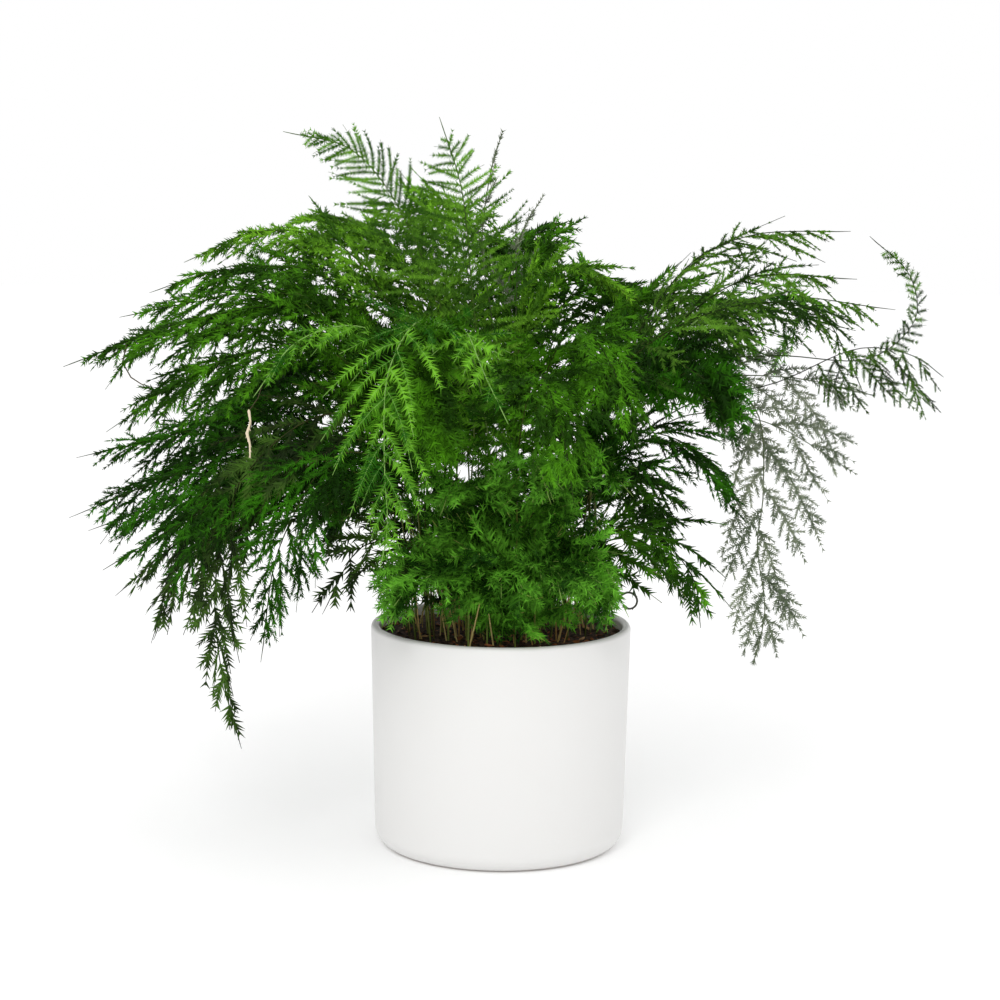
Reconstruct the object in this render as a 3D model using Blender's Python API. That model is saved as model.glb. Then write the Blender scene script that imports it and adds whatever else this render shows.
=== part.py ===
"""Potted asparagus fern: a white glazed pot, the soil in it, and the fronds that stand in the soil.

Metres with +Z up. The origin is under the middle of the pot, on the surface that it stands on,
and the front of the plant faces -Y. Each frond is one closed solid: a wiry stem that rises from
its own hole in the soil and arches over, slim side branches in one flat layer on both sides of
it, and needles that stand out of those branches.
"""
import math
import random
from collections import namedtuple

import bmesh
import bpy
import numpy as np

MM = 0.001
GAP = 0.3 * MM
UP = np.array((0.0, 0.0, 1.0))

# Pot: a slightly tapered cylinder with a rounded foot and a thin rounded rim.
POT_HEIGHT = 147 * MM
POT_RIM_RADIUS = 85 * MM
POT_FOOT_RADIUS = 82 * MM
POT_FOOT_CORNER = 12 * MM
POT_WALL = 5.6 * MM
POT_FLOOR = 8 * MM
POT_INNER_CORNER = 8 * MM
POT_SIDES = 32
CORNER_STEPS = 4
INNER_CORNER_STEPS = 2
RIM_STEPS = 4

# Soil: fills the pot to a little below its rim.
SOIL_TOP = 140 * MM
SOIL_BUMP = 1.5 * MM
SOIL_RINGS = 2

# Stems: thin rods, each in a hole of its own, that end in a point.
STEM_RADIUS = 1.3 * MM
STEM_TIP_RADIUS = 0.95 * MM
STEM_DEPTH = 22 * MM
STEM_EXIT = 6 * MM
STEM_STEP = 52 * MM
STEM_LIFT = (0.38, 0.38, 0.55)
STEM_BOWS = [bow * MM for bow in (0, 6, -6, 11, -11, 16, -16, 22, -22)]
CURVE_STEPS = 12
ROOT_SHARE = 0.42
ROOT_SPREAD = 62 * MM
ROOT_SPACING = 12 * MM
ROOT_ROUNDS = 400
ROOT_PUSH = 0.3

# Side branches and needles: spikes with three sides, each cut off just under the face that it
# grows out of.
SIDES = 3
BRANCH_RADIUS = 0.58 * MM
BRANCH_TAPER = 0.9
BRANCH_SINK = 0.15 * MM
BRANCH_SPACING = 6.5 * MM
BRANCH_STRIDE = 6
BRANCH_SHORTEST = 8 * MM
BRANCH_BENDS = (0, 12, -12, 24, -24, 38, -38, 55, -55)
NEEDLE_RADIUS = 0.4 * MM
NEEDLE_SINK = 0.12 * MM
NEEDLE_LENGTH = 6 * MM
NEEDLE_BENDS = (0, 25, -25, 45, -45)
NEEDLES_AT = (0.15, 0.9)
NEEDLES_AT_LONG = (0.15, 0.5, 0.9)
LONG_BRANCH = 45 * MM
FOLD_FREE = 0.18
END_FREE = 1.3 * MM
LEAST_OUTWARD = 0.4
CLEARANCE = 0.4 * MM
CHECK_POINTS = 9

Frond = namedtuple("Frond", "name through leafy_from reach roll finish")

# Each frond: the points in millimetres that its stem passes through above the soil, the part of
# its length that is bare, its longest side branch in millimetres, the roll of its flat layer in
# degrees, and its finish.
FRONDS = [Frond(*row) for row in (
    ("left_01", [(-50, 10, 300), (-105, 20, 390), (-160, 30, 399), (-211, 40, 378)],
     0.28, 55, 25, "mid"),
    ("left_02", [(-55, -5, 290), (-115, -5, 372), (-180, -10, 376), (-227, -10, 361)],
     0.28, 65, 25, "mid"),
    ("left_03", [(-70, 35, 280), (-140, 50, 358), (-200, 58, 352), (-257, 60, 340)],
     0.28, 65, 40, "mid"),
    ("left_04", [(-60, -10, 285), (-115, -15, 350), (-195, -20, 346),
                 (-240, -20, 330), (-281, -20, 314)], 0.28, 65, 22, "mid"),
    ("left_05", [(-60, -30, 265), (-115, -45, 330), (-185, -55, 318), (-248, -60, 277)],
     0.28, 65, 21, "mid"),
    ("left_06", [(-65, 20, 250), (-125, 25, 295), (-200, 30, 270), (-282, 30, 249)],
     0.28, 65, 39, "deep"),
    ("left_07", [(-65, -15, 240), (-120, -20, 280), (-200, -25, 250), (-277, -30, 218)],
     0.28, 65, 41, "deep"),
    ("left_08", [(-70, 30, 225), (-125, 40, 262), (-205, 45, 225), (-278, 50, 197)],
     0.28, 65, 26, "deep"),
    ("left_09", [(-70, -45, 235), (-130, -60, 262), (-200, -75, 222), (-248, -80, 193)],
     0.28, 55, 41, "deep"),
    ("left_10", [(-75, 10, 220), (-135, 15, 246), (-210, 18, 198), (-256, 20, 158)],
     0.28, 52, 24, "deep"),
    ("left_11", [(-75, -30, 225), (-140, -40, 240), (-200, -48, 190), (-221, -50, 143)],
     0.28, 50, 37, "deep"),
    ("left_12", [(-80, 35, 230), (-155, 50, 240), (-215, 58, 185), (-238, 60, 118)],
     0.28, 40, 24, "deep"),
    ("left_13", [(-60, -35, 270), (-115, -55, 290), (-165, -65, 250),
                 (-180, -70, 190), (-176, -72, 130), (-163, -72, 78)], 0.28, 46, 39, "deep"),
    ("left_14", [(-60, -60, 250), (-100, -85, 268), (-135, -105, 215), (-147, -110, 142)],
     0.28, 52, 35, "deep"),
    ("left_15", [(-50, -35, 195), (-88, -60, 208), (-112, -72, 165)], 0.15, 55, 42, "deep"),
    ("top_01", [(-25, 5, 280), (-42, 8, 356), (-64, 10, 407),
                (-80, 10, 434), (-101, 10, 454), (-143, 10, 464)], 0.45, 46, 90, "young"),
    ("top_02", [(-12, -5, 280), (-21, -10, 368), (-28, -15, 430), (-42, -20, 474)],
     0.45, 52, 90, "young"),
    ("top_03", [(0, 25, 280), (-9, 35, 350), (-15, 38, 393), (-9, 40, 442), (-2, 40, 466)],
     0.70, 16, 80, "pale"),
    ("top_04", [(5, 30, 270), (8, 50, 350), (10, 58, 395), (26, 60, 425)], 0.65, 34, 80, "pale"),
    ("top_05", [(-30, 35, 300), (-75, 55, 388), (-118, 65, 409), (-158, 70, 398)],
     0.30, 62, 0, "mid"),
    ("top_06", [(8, 20, 300), (20, 30, 370), (50, 36, 378), (98, 40, 352)], 0.30, 60, 0, "mid"),
    ("right_01", [(50, 5, 250), (85, 5, 334), (122, 8, 384), (160, 10, 401), (223, 10, 404)],
     0.44, 56, -19, "mid"),
    ("right_02", [(60, -10, 270), (110, -25, 345), (155, -35, 376), (221, -40, 376)],
     0.42, 58, -42, "mid"),
    ("right_03", [(60, 0, 240), (115, -5, 290), (175, -15, 308),
                  (228, -20, 331), (262, -20, 326), (281, -20, 313)], 0.74, 40, -50, "mid"),
    ("right_04", [(58, 12, 250), (112, 18, 312), (175, 20, 322), (240, 15, 322),
                  (267, 12, 348), (262, 10, 376), (235, 8, 401)], 0.74, 5, 90, "mid"),
    ("right_05", [(50, -20, 260), (88, -35, 318), (125, -48, 322), (150, -58, 280)],
     0.35, 60, -27, "mid"),
    ("right_06", [(60, 20, 230), (115, 24, 280), (172, 26, 278), (235, 28, 243)],
     0.60, 42, 75, "pale"),
    ("right_07", [(65, 35, 240), (125, 44, 300), (185, 46, 306), (248, 44, 294)],
     0.60, 38, 75, "pale"),
    ("right_08", [(65, -8, 260), (125, -3, 312), (163, 2, 290), (170, 2, 235),
                  (167, 2, 200), (173, 2, 155), (166, 2, 119)], 0.60, 46, 90, "pale"),
    ("right_09", [(50, -20, 200), (90, -30, 215), (122, -35, 185), (128, -38, 152)],
     0.30, 50, -37, "deep"),
    ("right_10", [(60, 25, 265), (112, 48, 336), (172, 60, 358), (262, 64, 350)],
     0.42, 58, -22, "mid"),
    ("right_11", [(50, -40, 285), (98, -65, 342), (158, -60, 362),
                  (196, -70, 355), (211, -72, 332), (222, -72, 309)], 0.42, 42, -36, "mid"),
    ("right_12", [(64, 30, 279), (122, 48, 341), (175, 56, 367),
                  (199, 58, 357), (189, 56, 330), (173, 54, 299)], 0.62, 16, 90, "young"),
    ("right_13", [(45, -10, 230), (88, -15, 275), (128, -20, 262), (155, -22, 225)],
     0.30, 60, -18, "deep"),
    ("front_01", [(-20, -50, 300), (-50, -105, 352), (-68, -130, 325),
                  (-70, -147, 275), (-68, -152, 231), (-72, -155, 209)], 0.35, 42, 0, "young"),
    ("front_02", [(-10, -50, 280), (-22, -110, 345), (-12, -140, 325), (3, -150, 295)],
     0.35, 42, 0, "young"),
    ("front_03", [(-35, -35, 290), (-58, -80, 342), (-46, -108, 305), (-26, -118, 252)],
     0.35, 45, 0, "mid"),
    ("front_04", [(-35, -40, 290), (-85, -75, 345), (-125, -92, 338), (-152, -100, 304)],
     0.35, 42, 0, "young"),
    ("front_05", [(20, -45, 290), (45, -100, 350), (68, -130, 320), (82, -142, 272)],
     0.35, 55, 0, "mid"),
    ("front_06", [(10, -60, 270), (22, -125, 322), (35, -155, 290), (42, -165, 250)],
     0.35, 55, 0, "mid"),
    ("low_01", [(-30, -42, 190), (-56, -66, 200), (-76, -82, 165)], 0.05, 60, -4, "cool"),
    ("low_02", [(0, -50, 190), (0, -86, 202), (0, -102, 182)], 0.05, 50, 16, "cool"),
    ("low_03", [(15, -50, 195), (30, -84, 202), (38, -101, 178)], 0.05, 60, 6, "cool"),
    ("low_04", [(30, -35, 195), (60, -58, 200), (80, -72, 165)], 0.05, 60, -29, "cool"),
    ("low_05", [(45, 0, 190), (85, -5, 205), (118, -10, 182)], 0.05, 60, -12, "cool"),
    ("low_06", [(-15, -40, 215), (-28, -75, 250), (-38, -98, 232)], 0.10, 58, 10, "cool"),
    ("low_07", [(10, -40, 215), (20, -75, 262), (30, -100, 240)], 0.10, 58, 10, "cool"),
    ("low_08", [(30, -25, 215), (58, -45, 262), (82, -62, 240)], 0.10, 58, -26, "cool"),
    ("back_01", [(-40, 50, 305), (-85, 100, 398), (-125, 145, 390), (-155, 185, 330)],
     0.28, 65, 8, "mid"),
    ("back_02", [(-18, 50, 320), (-35, 100, 415), (-50, 155, 405), (-62, 210, 340)],
     0.28, 58, -21, "mid"),
    ("back_03", [(3, 55, 310), (8, 110, 390), (14, 165, 380), (20, 225, 315)], 0.28, 62, 22, "mid"),
    ("back_04", [(25, 45, 295), (50, 95, 362), (80, 145, 356), (112, 195, 295)],
     0.28, 60, -19, "mid"),
    ("back_05", [(45, 35, 290), (90, 75, 352), (140, 108, 348), (188, 135, 300)],
     0.28, 52, 25, "mid"),
    ("back_06", [(-60, 45, 260), (-120, 75, 310), (-170, 100, 285), (-215, 120, 235)],
     0.28, 60, -11, "mid"),
    ("back_07", [(-45, 50, 210), (-80, 90, 235), (-110, 120, 205), (-125, 135, 165)],
     0.12, 50, 27, "deep"),
    ("back_08", [(45, 45, 210), (80, 80, 235), (105, 110, 205), (118, 125, 160)],
     0.12, 50, 12, "deep"),
    ("back_09", [(-4, 48, 195), (2, 80, 222), (6, 108, 196)], 0.10, 62, 14, "deep"),
)]

# How side branches are set: the angle to the stem at which the lowest sets out, in degrees, how
# late they get shorter towards the tip, and how much they hang. Some fronds have values of their own.
USUAL_GROWTH = (62, 2.6, 0.12)
GROWTH = {"top_01": (70, 1.8, 0.16), "top_02": (94, 3.5, 0.10), "right_01": (50, 2.6, 0.40),
          "right_02": (50, 2.6, 0.40), "right_03": (62, 5.0, 1.50), "right_04": (75, 2.6, 0.12),
          "right_10": (50, 2.6, 0.40), "right_12": (62, 2.6, 0.30), "front_01": (80, 4.0, 0.05),
          "front_02": (84, 1.8, 0.05), "front_04": (84, 1.8, 0.05), "low_01": (62, 2.6, 0.10),
          "low_02": (62, 2.6, 0.12), "low_03": (62, 2.6, 0.20), "low_04": (62, 2.6, 0.30),
          "low_05": (62, 2.6, 0.25)}

# A bare dried tendril that leans over the rim on the right and ends in a curl.
TENDRIL_RISE = [(62, 4, 140), (66, 5, 152), (76, 6, 162)]
TENDRIL_CURL_CENTRE = (84, 7, 160)
TENDRIL_CURL_RADIUS = 7
TENDRIL_CURL_STEPS = 8
TENDRIL_CURL_TURN = math.radians(43)
TENDRIL_CURL_SHRINK = 0.05
TENDRIL_CURL_DRIFT = 0.06
TENDRIL_RADIUS = 0.6 * MM

# Finish: base colour, roughness, metallic.
FINISHES = {
    "glaze": ((0.86, 0.85, 0.84), 0.35, 0.0),
    "soil": ((0.035, 0.018, 0.010), 0.95, 0.0),
    "young": ((0.110, 0.330, 0.030), 0.55, 0.0),
    "mid": ((0.045, 0.180, 0.020), 0.55, 0.0),
    "deep": ((0.025, 0.110, 0.018), 0.60, 0.0),
    "cool": ((0.030, 0.170, 0.045), 0.55, 0.0),
    "pale": ((0.150, 0.230, 0.110), 0.65, 0.0),
    "dry": ((0.090, 0.080, 0.065), 0.80, 0.0),
}


def clear_scene():
    """Remove whatever the open file holds."""
    for obj in list(bpy.data.objects):
        bpy.data.objects.remove(obj, do_unlink=True)


def finish(name):
    """The material of one finish, made on first use."""
    material = bpy.data.materials.get(name)
    if material is None:
        colour, roughness, metallic = FINISHES[name]
        material = bpy.data.materials.new(name)
        material.use_nodes = True
        shader = material.node_tree.nodes["Principled BSDF"]
        shader.inputs["Base Color"].default_value = (*colour, 1.0)
        shader.inputs["Roughness"].default_value = roughness
        shader.inputs["Metallic"].default_value = metallic
    return material


def mesh_object(name, shape, material, collection=None):
    """A named object from a bmesh, with its faces turned outward."""
    bmesh.ops.recalc_face_normals(shape, faces=shape.faces)
    mesh = bpy.data.meshes.new(name)
    shape.to_mesh(mesh)
    shape.free()
    mesh.materials.append(finish(material))
    obj = bpy.data.objects.new(name, mesh)
    (collection or bpy.context.scene.collection).objects.link(obj)
    return obj


def turned(name, profile, material):
    """A solid of revolution from (radius, height) points that start and end on the axis."""
    shape = bmesh.new()
    verts = [shape.verts.new((radius, 0.0, height)) for radius, height in profile]
    edges = [shape.edges.new(pair) for pair in zip(verts, verts[1:])]
    bmesh.ops.spin(shape, geom=verts + edges, axis=(0, 0, 1), cent=(0, 0, 0),
                   angle=math.tau, steps=POT_SIDES, use_duplicate=False)
    bmesh.ops.remove_doubles(shape, verts=shape.verts, dist=0.01 * MM)
    return mesh_object(name, shape, material)


def arc(centre, radius, start, end, steps):
    """Points on a round stretch of a profile, angles in degrees."""
    angles = (math.radians(start + (end - start) * i / steps) for i in range(steps + 1))
    return [(centre[0] + radius * math.cos(a), centre[1] + radius * math.sin(a)) for a in angles]


def build_pot():
    """The pot's wall, rim and floor as one turned solid."""
    inner_top = POT_RIM_RADIUS - POT_WALL
    inner_foot = POT_FOOT_RADIUS - POT_WALL
    rim = POT_WALL / 2
    profile = [(0.0, 0.0)]
    profile += arc((POT_FOOT_RADIUS - POT_FOOT_CORNER, POT_FOOT_CORNER), POT_FOOT_CORNER,
                   -90, 0, CORNER_STEPS)
    profile += arc((POT_RIM_RADIUS - rim, POT_HEIGHT - rim), rim, 0, 180, RIM_STEPS)
    profile += [(inner_top, SOIL_TOP + 2 * SOIL_BUMP)]
    profile += arc((inner_foot - POT_INNER_CORNER, POT_FLOOR + POT_INNER_CORNER),
                   POT_INNER_CORNER, 0, -90, INNER_CORNER_STEPS)
    profile += [(0.0, POT_FLOOR)]
    pot = turned("pot", profile, "glaze")
    pot.data.shade_smooth()
    pot.data.set_sharp_from_angle(angle=math.radians(40))
    return pot


def soil_height(x, y):
    """Height of the uneven soil surface at a point."""
    wave = math.sin(x / MM / 9 + 1) * math.cos(y / MM / 7) + math.sin((x + y) / MM / 5) / 2
    return SOIL_TOP + SOIL_BUMP * wave / 1.5


def build_soil():
    """The soil that fills the pot, still without the stems' holes."""
    facet_gap = GAP / math.cos(math.pi / POT_SIDES)
    top_radius = POT_RIM_RADIUS - POT_WALL - facet_gap
    foot_radius = POT_FOOT_RADIUS - POT_WALL - facet_gap
    corner = POT_INNER_CORNER
    profile = [(0.0, POT_FLOOR + GAP)]
    profile += arc((foot_radius - corner, POT_FLOOR + GAP + corner), corner, -90, 0,
                   INNER_CORNER_STEPS)
    profile += [(top_radius, SOIL_TOP)]
    profile += [(top_radius * ring / SOIL_RINGS, SOIL_TOP)
                for ring in reversed(range(SOIL_RINGS))]
    soil = turned("soil", profile, "soil")
    for vert in soil.data.vertices:
        if vert.co.z > SOIL_TOP - MM and vert.co.xy.length < top_radius - MM:
            vert.co.z = soil_height(vert.co.x, vert.co.y)
    return soil


def unit(vector):
    """The vector at length one."""
    return vector / np.linalg.norm(vector)


def lengths(path):
    """Distance along a path at each of its points."""
    return np.r_[0, np.cumsum(np.linalg.norm(np.diff(path, axis=0), axis=1))]


def smooth_path(points):
    """A fine smooth curve through the given points."""
    points = np.array(points, float)
    points = np.vstack([2 * points[0] - points[1], points, 2 * points[-1] - points[-2]])
    curve = []
    for a, b, c, d in zip(points, points[1:], points[2:], points[3:]):
        k0, k1, k2 = (math.sqrt(np.linalg.norm(v)) for v in (b - a, c - b, d - c))
        slope_b = (c - b) + k1 * ((b - a) / k0 - (c - a) / (k0 + k1))
        slope_c = (c - b) + k1 * ((d - c) / k2 - (d - b) / (k1 + k2))
        for t in np.linspace(0, 1, CURVE_STEPS, endpoint=False):
            curve.append((2 * t**3 - 3 * t**2 + 1) * b + (t**3 - 2 * t**2 + t) * slope_b
                         + (3 * t**2 - 2 * t**3) * c + (t**3 - t**2) * slope_c)
    return np.array(curve + [points[-2]])


def thinned(path, step):
    """The path with fewer points, set closer together where it bends."""
    pieces = np.diff(path, axis=0)
    steps = np.linalg.norm(pieces, axis=1)
    heads = pieces / steps[:, None]
    turns = np.r_[0, np.arccos(np.clip((heads[1:] * heads[:-1]).sum(1), -1, 1))]
    measure = np.r_[0, np.cumsum(steps + turns * step)]
    count = max(5, round(measure[-1] / step) + 1)
    marks = np.linspace(0, measure[-1], count)
    return np.stack([np.interp(marks, measure, path[:, axis]) for axis in range(3)], 1)


def root_spots():
    """Where the stems leave the soil: under their fronds, spread until they stand apart."""
    spots = []
    for frond in FRONDS:
        toward = np.array(frond.through[1][:2]) * MM
        reach = np.linalg.norm(toward)
        spots.append(toward / reach * min(ROOT_SHARE * reach, ROOT_SPREAD))
    spots = np.array(spots)
    for _ in range(ROOT_ROUNDS):
        apart = spots[:, None] - spots[None]
        distance = np.linalg.norm(apart, axis=2) + np.eye(len(spots))
        push = np.clip(ROOT_SPACING - distance, 0, None)
        spots += (apart / distance[..., None] * push[..., None] * ROOT_PUSH).sum(1)
        spots *= np.minimum(1, ROOT_SPREAD / np.linalg.norm(spots, axis=1))[:, None]
    return spots


def stem_path(root, through):
    """A stem from the soil: steep at first, then over through its points."""
    base = np.array([*root, SOIL_TOP])
    through = np.array(through, float) * MM
    lift = base + (through[0] - base) * STEM_LIFT
    return smooth_path([base, lift, *through])


def bowed(path, side, amount):
    """The path moved sideways in the middle, with both ends kept."""
    along = lengths(path) / lengths(path)[-1]
    return path + side * (amount * np.sin(math.pi * along) ** 2)[:, None]


def level_side(path):
    """The level direction to one side of a stem."""
    return unit(np.cross((path[-1] - path[0]) * (1, 1, 0), UP))


def spread(side, ahead, roll):
    """The direction across a stem in which its layer spreads there, roll in degrees."""
    flat = unit(side - ahead * (side @ ahead))
    angle = math.radians(roll)
    return flat * math.cos(angle) + np.cross(flat, ahead) * math.sin(angle)


class Space:
    """The straight rods placed so far, to keep each node clear of the others."""

    def __init__(self):
        self.starts, self.ends, self.radii, self.owners = [], [], [], []

    def add(self, owner, path, radius):
        """Note a placed rod."""
        for start, end in zip(path, path[1:]):
            self.starts.append(start)
            self.ends.append(end)
            self.radii.append(radius)
            self.owners.append(owner)

    def is_clear(self, owner, path, radius):
        """True where the rod stays clear of every other node's rods."""
        others = np.array(self.owners) != owner
        if not others.any():
            return True
        starts = np.array(self.starts)[others]
        sweeps = np.array(self.ends)[others] - starts
        limit = np.array(self.radii)[others] + radius + CLEARANCE
        return all((rod_distance(a, b - a, starts, sweeps) > limit).all()
                   for a, b in zip(path, path[1:]))


def rod_distance(start, sweep, starts, sweeps):
    """Shortest distance from one straight line to each of many."""
    between = start - starts
    own = sweep @ sweep
    theirs = (sweeps * sweeps).sum(1)
    across = sweeps @ sweep
    toward = (sweeps * between).sum(1)
    ahead = between @ sweep
    spread = np.maximum(own * theirs - across**2, 1e-18)
    s = np.clip((across * toward - ahead * theirs) / spread, 0, 1)
    t = np.clip((across * s + toward) / theirs, 0, 1)
    s = np.clip((across * t - ahead) / own, 0, 1)
    return np.linalg.norm(between + s[:, None] * sweep - t[:, None] * sweeps, axis=1)


def clear_of_pot(path, radius):
    """True where a rod above the soil touches neither the soil nor the pot's wall."""
    for start, end in zip(path, path[1:]):
        for t in np.linspace(0, 1, CHECK_POINTS):
            x, y, z = start + (end - start) * t
            from_axis = math.hypot(x, y)
            if from_axis < POT_RIM_RADIUS and z < SOIL_TOP + 2 * SOIL_BUMP + radius:
                return False
            inside = POT_RIM_RADIUS - POT_WALL - radius - MM
            outside = POT_RIM_RADIUS + radius + MM
            if inside < from_axis < outside and z < POT_HEIGHT + radius + MM:
                return False
    return True


def turned_about(vector, axis, degrees):
    """The vector turned about an axis through the origin."""
    angle = math.radians(degrees)
    return (vector * math.cos(angle) + np.cross(axis, vector) * math.sin(angle)
            + axis * (axis @ vector) * (1 - math.cos(angle)))


def branch_plan(frond, length):
    """Each side branch as (index, fraction of the stem, side, length, angle, tilt)."""
    angle, late, _ = GROWTH.get(frond.name, USUAL_GROWTH)
    leafy = (1 - frond.leafy_from) * length
    count = round(leafy / BRANCH_SPACING)
    for index in range(count):
        draw = random.Random(f"{frond.name} branch {index}")
        part = (index + 0.5) / count
        fraction = frond.leafy_from + (1 - frond.leafy_from) * part
        swell = min(1, 0.55 + part * 3) * (1 - part**late)
        reach = frond.reach * MM * swell * draw.uniform(0.8, 1.15)
        yield (index, fraction, 1 if index % 2 else -1, max(reach, BRANCH_SHORTEST),
               angle - 30 * part + draw.uniform(-10, 10), draw.uniform(-20, 20))


def branch_direction(frond, ahead, side, angle, tilt):
    """The direction of a side branch: forward, outward and drooping, most often a little."""
    turn = math.radians(angle)
    out = turned_about(spread(side, ahead, frond.roll), ahead, tilt)
    return unit(ahead * (math.cos(turn) + 0.15) + out * math.sin(turn)
                - UP * GROWTH.get(frond.name, USUAL_GROWTH)[2])


class Rod:
    """A closed rod with three sides: rings of corners, then a point."""

    def __init__(self, rings, tip):
        self.rings = np.array(rings)
        self.tip = tip

    @classmethod
    def stem(cls, path, side, roll, radii):
        """A rod along a path, with a corner turned to the top of its layer."""
        rings = []
        for index, (centre, radius) in enumerate(zip(path[:-1], radii)):
            after = unit(path[index + 1] - centre)
            before = unit(centre - path[index - 1]) if index else after
            ahead = unit(before + after)
            across = spread(side, ahead, roll)
            over = np.cross(across, ahead)
            rings.append([centre + radius * (across * math.cos(a) + over * math.sin(a))
                          for a in (math.pi / 2 + math.tau * k / SIDES for k in range(SIDES))])
        return cls(rings, path[-1])

    @classmethod
    def spike(cls, seat, direction, length, radius, sink, taper=None):
        """A spike that grows out of a face, cut off by a plane just under that face."""
        point, normal, ahead = seat
        start = point - normal * sink
        forward = unit(ahead - direction * (ahead @ direction))
        across = np.cross(direction, forward)
        corners = [radius * (forward * math.cos(a) + across * math.sin(a))
                   for a in (math.tau * k / SIDES for k in range(SIDES))]
        tip = start + direction * length
        if taper:
            neck = start + direction * (length - NEEDLE_LENGTH)
            upper = [neck + corner * taper for corner in corners]
        else:
            upper = [tip] * SIDES
        foot = []
        for corner, high in zip(corners, upper):
            edge = high - (start + corner)
            foot.append(start + corner - edge * (corner @ normal) / (edge @ normal))
        return cls([foot, upper] if taper else [foot], tip)

    def line(self):
        """The rod's middle line, from its first ring to its point."""
        return np.vstack([self.rings.mean(axis=1), self.tip])

    def seat(self, distance, face=None, side=None, roll=0):
        """A spot on a face: the point, the face's normal and the direction along the face.

        The face is given, or it is the one that looks to the side on which the layer spreads.
        The spot keeps off the middle of a segment, where a bent face folds, and off its ends.
        """
        centres = self.rings.mean(axis=1)
        along = lengths(centres)
        index = min(max(np.searchsorted(along, distance), 1), len(centres) - 1)
        span = along[index] - along[index - 1]
        t = (distance - along[index - 1]) / span
        t = min(t, FOLD_FREE) if t < 0.5 else max(t, 1 - FOLD_FREE)
        t = min(max(t, END_FREE / span), 1 - END_FREE / span)
        low, high = self.rings[index - 1], self.rings[index]
        seats = []
        for k in range(SIDES):
            nxt = (k + 1) % SIDES
            foot, head = (low[k] + low[nxt]) / 2, (high[k] + high[nxt]) / 2
            normal = unit(np.cross(low[nxt] - low[k], head - foot))
            normal *= np.sign(normal @ (foot - centres[index - 1]))
            seats.append((foot + (head - foot) * t, normal, unit(head - foot)))
        if side is not None:
            toward = spread(side, unit(centres[index] - centres[index - 1]), roll)
            face = max(range(SIDES), key=lambda k: seats[k][1] @ toward)
        return seats[face]

    def shape(self):
        """The rod's bmesh."""
        shape = bmesh.new()
        rings = [[shape.verts.new(corner) for corner in ring] for ring in self.rings]
        tip = shape.verts.new(self.tip)
        shape.faces.new(rings[0])
        for low, high in zip(rings, rings[1:]):
            for k in range(SIDES):
                nxt = (k + 1) % SIDES
                shape.faces.new((low[k], low[nxt], high[nxt], high[k]))
        for k in range(SIDES):
            shape.faces.new((rings[-1][k], rings[-1][(k + 1) % SIDES], tip))
        return shape


def grown(frond, seat, directions, length, radius, sink, space, taper=None):
    """The first spike of those directions that stays clear of other nodes, or None."""
    for direction in directions:
        if direction @ seat[1] < LEAST_OUTWARD:
            continue
        spike = Rod.spike(seat, direction, length, radius, sink, taper)
        line = spike.line()
        if space.is_clear(frond.name, line, radius) and clear_of_pot(line, radius):
            space.add(frond.name, line, radius)
            return spike
    return None


def place_branches(frond, stem, side, space):
    """The frond's side branches, bent clear of other nodes."""
    placed = []
    leaning = lengths(stem.line())[-1] - STEM_DEPTH
    for index, fraction, hand, length, angle, tilt in branch_plan(frond, leaning):
        if index % BRANCH_STRIDE:
            continue
        seat = stem.seat(STEM_DEPTH + fraction * leaning, side=side * hand, roll=frond.roll)
        directions = [branch_direction(frond, seat[2], side * hand, angle, tilt + bend)
                      for bend in BRANCH_BENDS]
        branch = grown(frond, seat, directions, length, BRANCH_RADIUS, BRANCH_SINK, space,
                       BRANCH_TAPER)
        if branch:
            placed.append(branch)
    return placed


def place_needles(frond, stem, branches, space):
    """Needles on each branch in turn round its sides, and round the frond's tip."""
    spots = [(branch, part) for branch in branches for part in (
        NEEDLES_AT_LONG if lengths(branch.line())[-1] > LONG_BRANCH else NEEDLES_AT)]
    spots += [(stem, 1.0)] * SIDES
    placed = []
    for number, (rod, part) in enumerate(spots):
        draw = random.Random(f"{frond.name} needle {number}")
        core = lengths(rod.rings.mean(axis=1))[-1]
        seat = rod.seat(part * core, face=number % SIDES)
        swing = draw.uniform(-12, 12)
        directions = [turned_about(unit(seat[2] + seat[1]), seat[2], swing + bend)
                      for bend in NEEDLE_BENDS]
        needle = grown(frond, seat, directions, NEEDLE_LENGTH, NEEDLE_RADIUS, NEEDLE_SINK, space)
        if needle:
            placed.append(needle)
    return placed


def boolean(obj, operation, collection):
    """Join or cut an object with a whole collection, then remove the collection's objects."""
    modifier = obj.modifiers.new("boolean", "BOOLEAN")
    modifier.operation = operation
    modifier.operand_type = "COLLECTION"
    modifier.collection = collection
    bpy.context.view_layer.update()
    evaluated = obj.evaluated_get(bpy.context.evaluated_depsgraph_get())
    result = bpy.data.meshes.new_from_object(evaluated)
    obj.modifiers.clear()
    spare = obj.data
    obj.data = result
    bpy.data.meshes.remove(spare)
    for part in list(collection.objects):
        bpy.data.objects.remove(part, do_unlink=True)
    bpy.data.collections.remove(collection)


def new_collection(name):
    """An empty collection in the scene."""
    collection = bpy.data.collections.new(name)
    bpy.context.scene.collection.children.link(collection)
    return collection


def rooted(path):
    """The path carried straight down into the soil, with a last short step before its end."""
    rise = unit(path[1] - path[0])
    last = path[-1] - unit(path[-1] - path[-2]) * NEEDLE_LENGTH
    return np.vstack([path[0] - rise * STEM_DEPTH, path[0] + rise * STEM_EXIT, path[1:-1],
                      last, path[-1]])


def frond_stem(path, side, roll, radius, tip_radius):
    """A stem along a path that is already carried down into the soil."""
    along = lengths(path) / lengths(path)[-1]
    radii = radius + (tip_radius - radius) * along
    radii[:2] = radius
    return Rod.stem(path, side, roll, radii)


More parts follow.
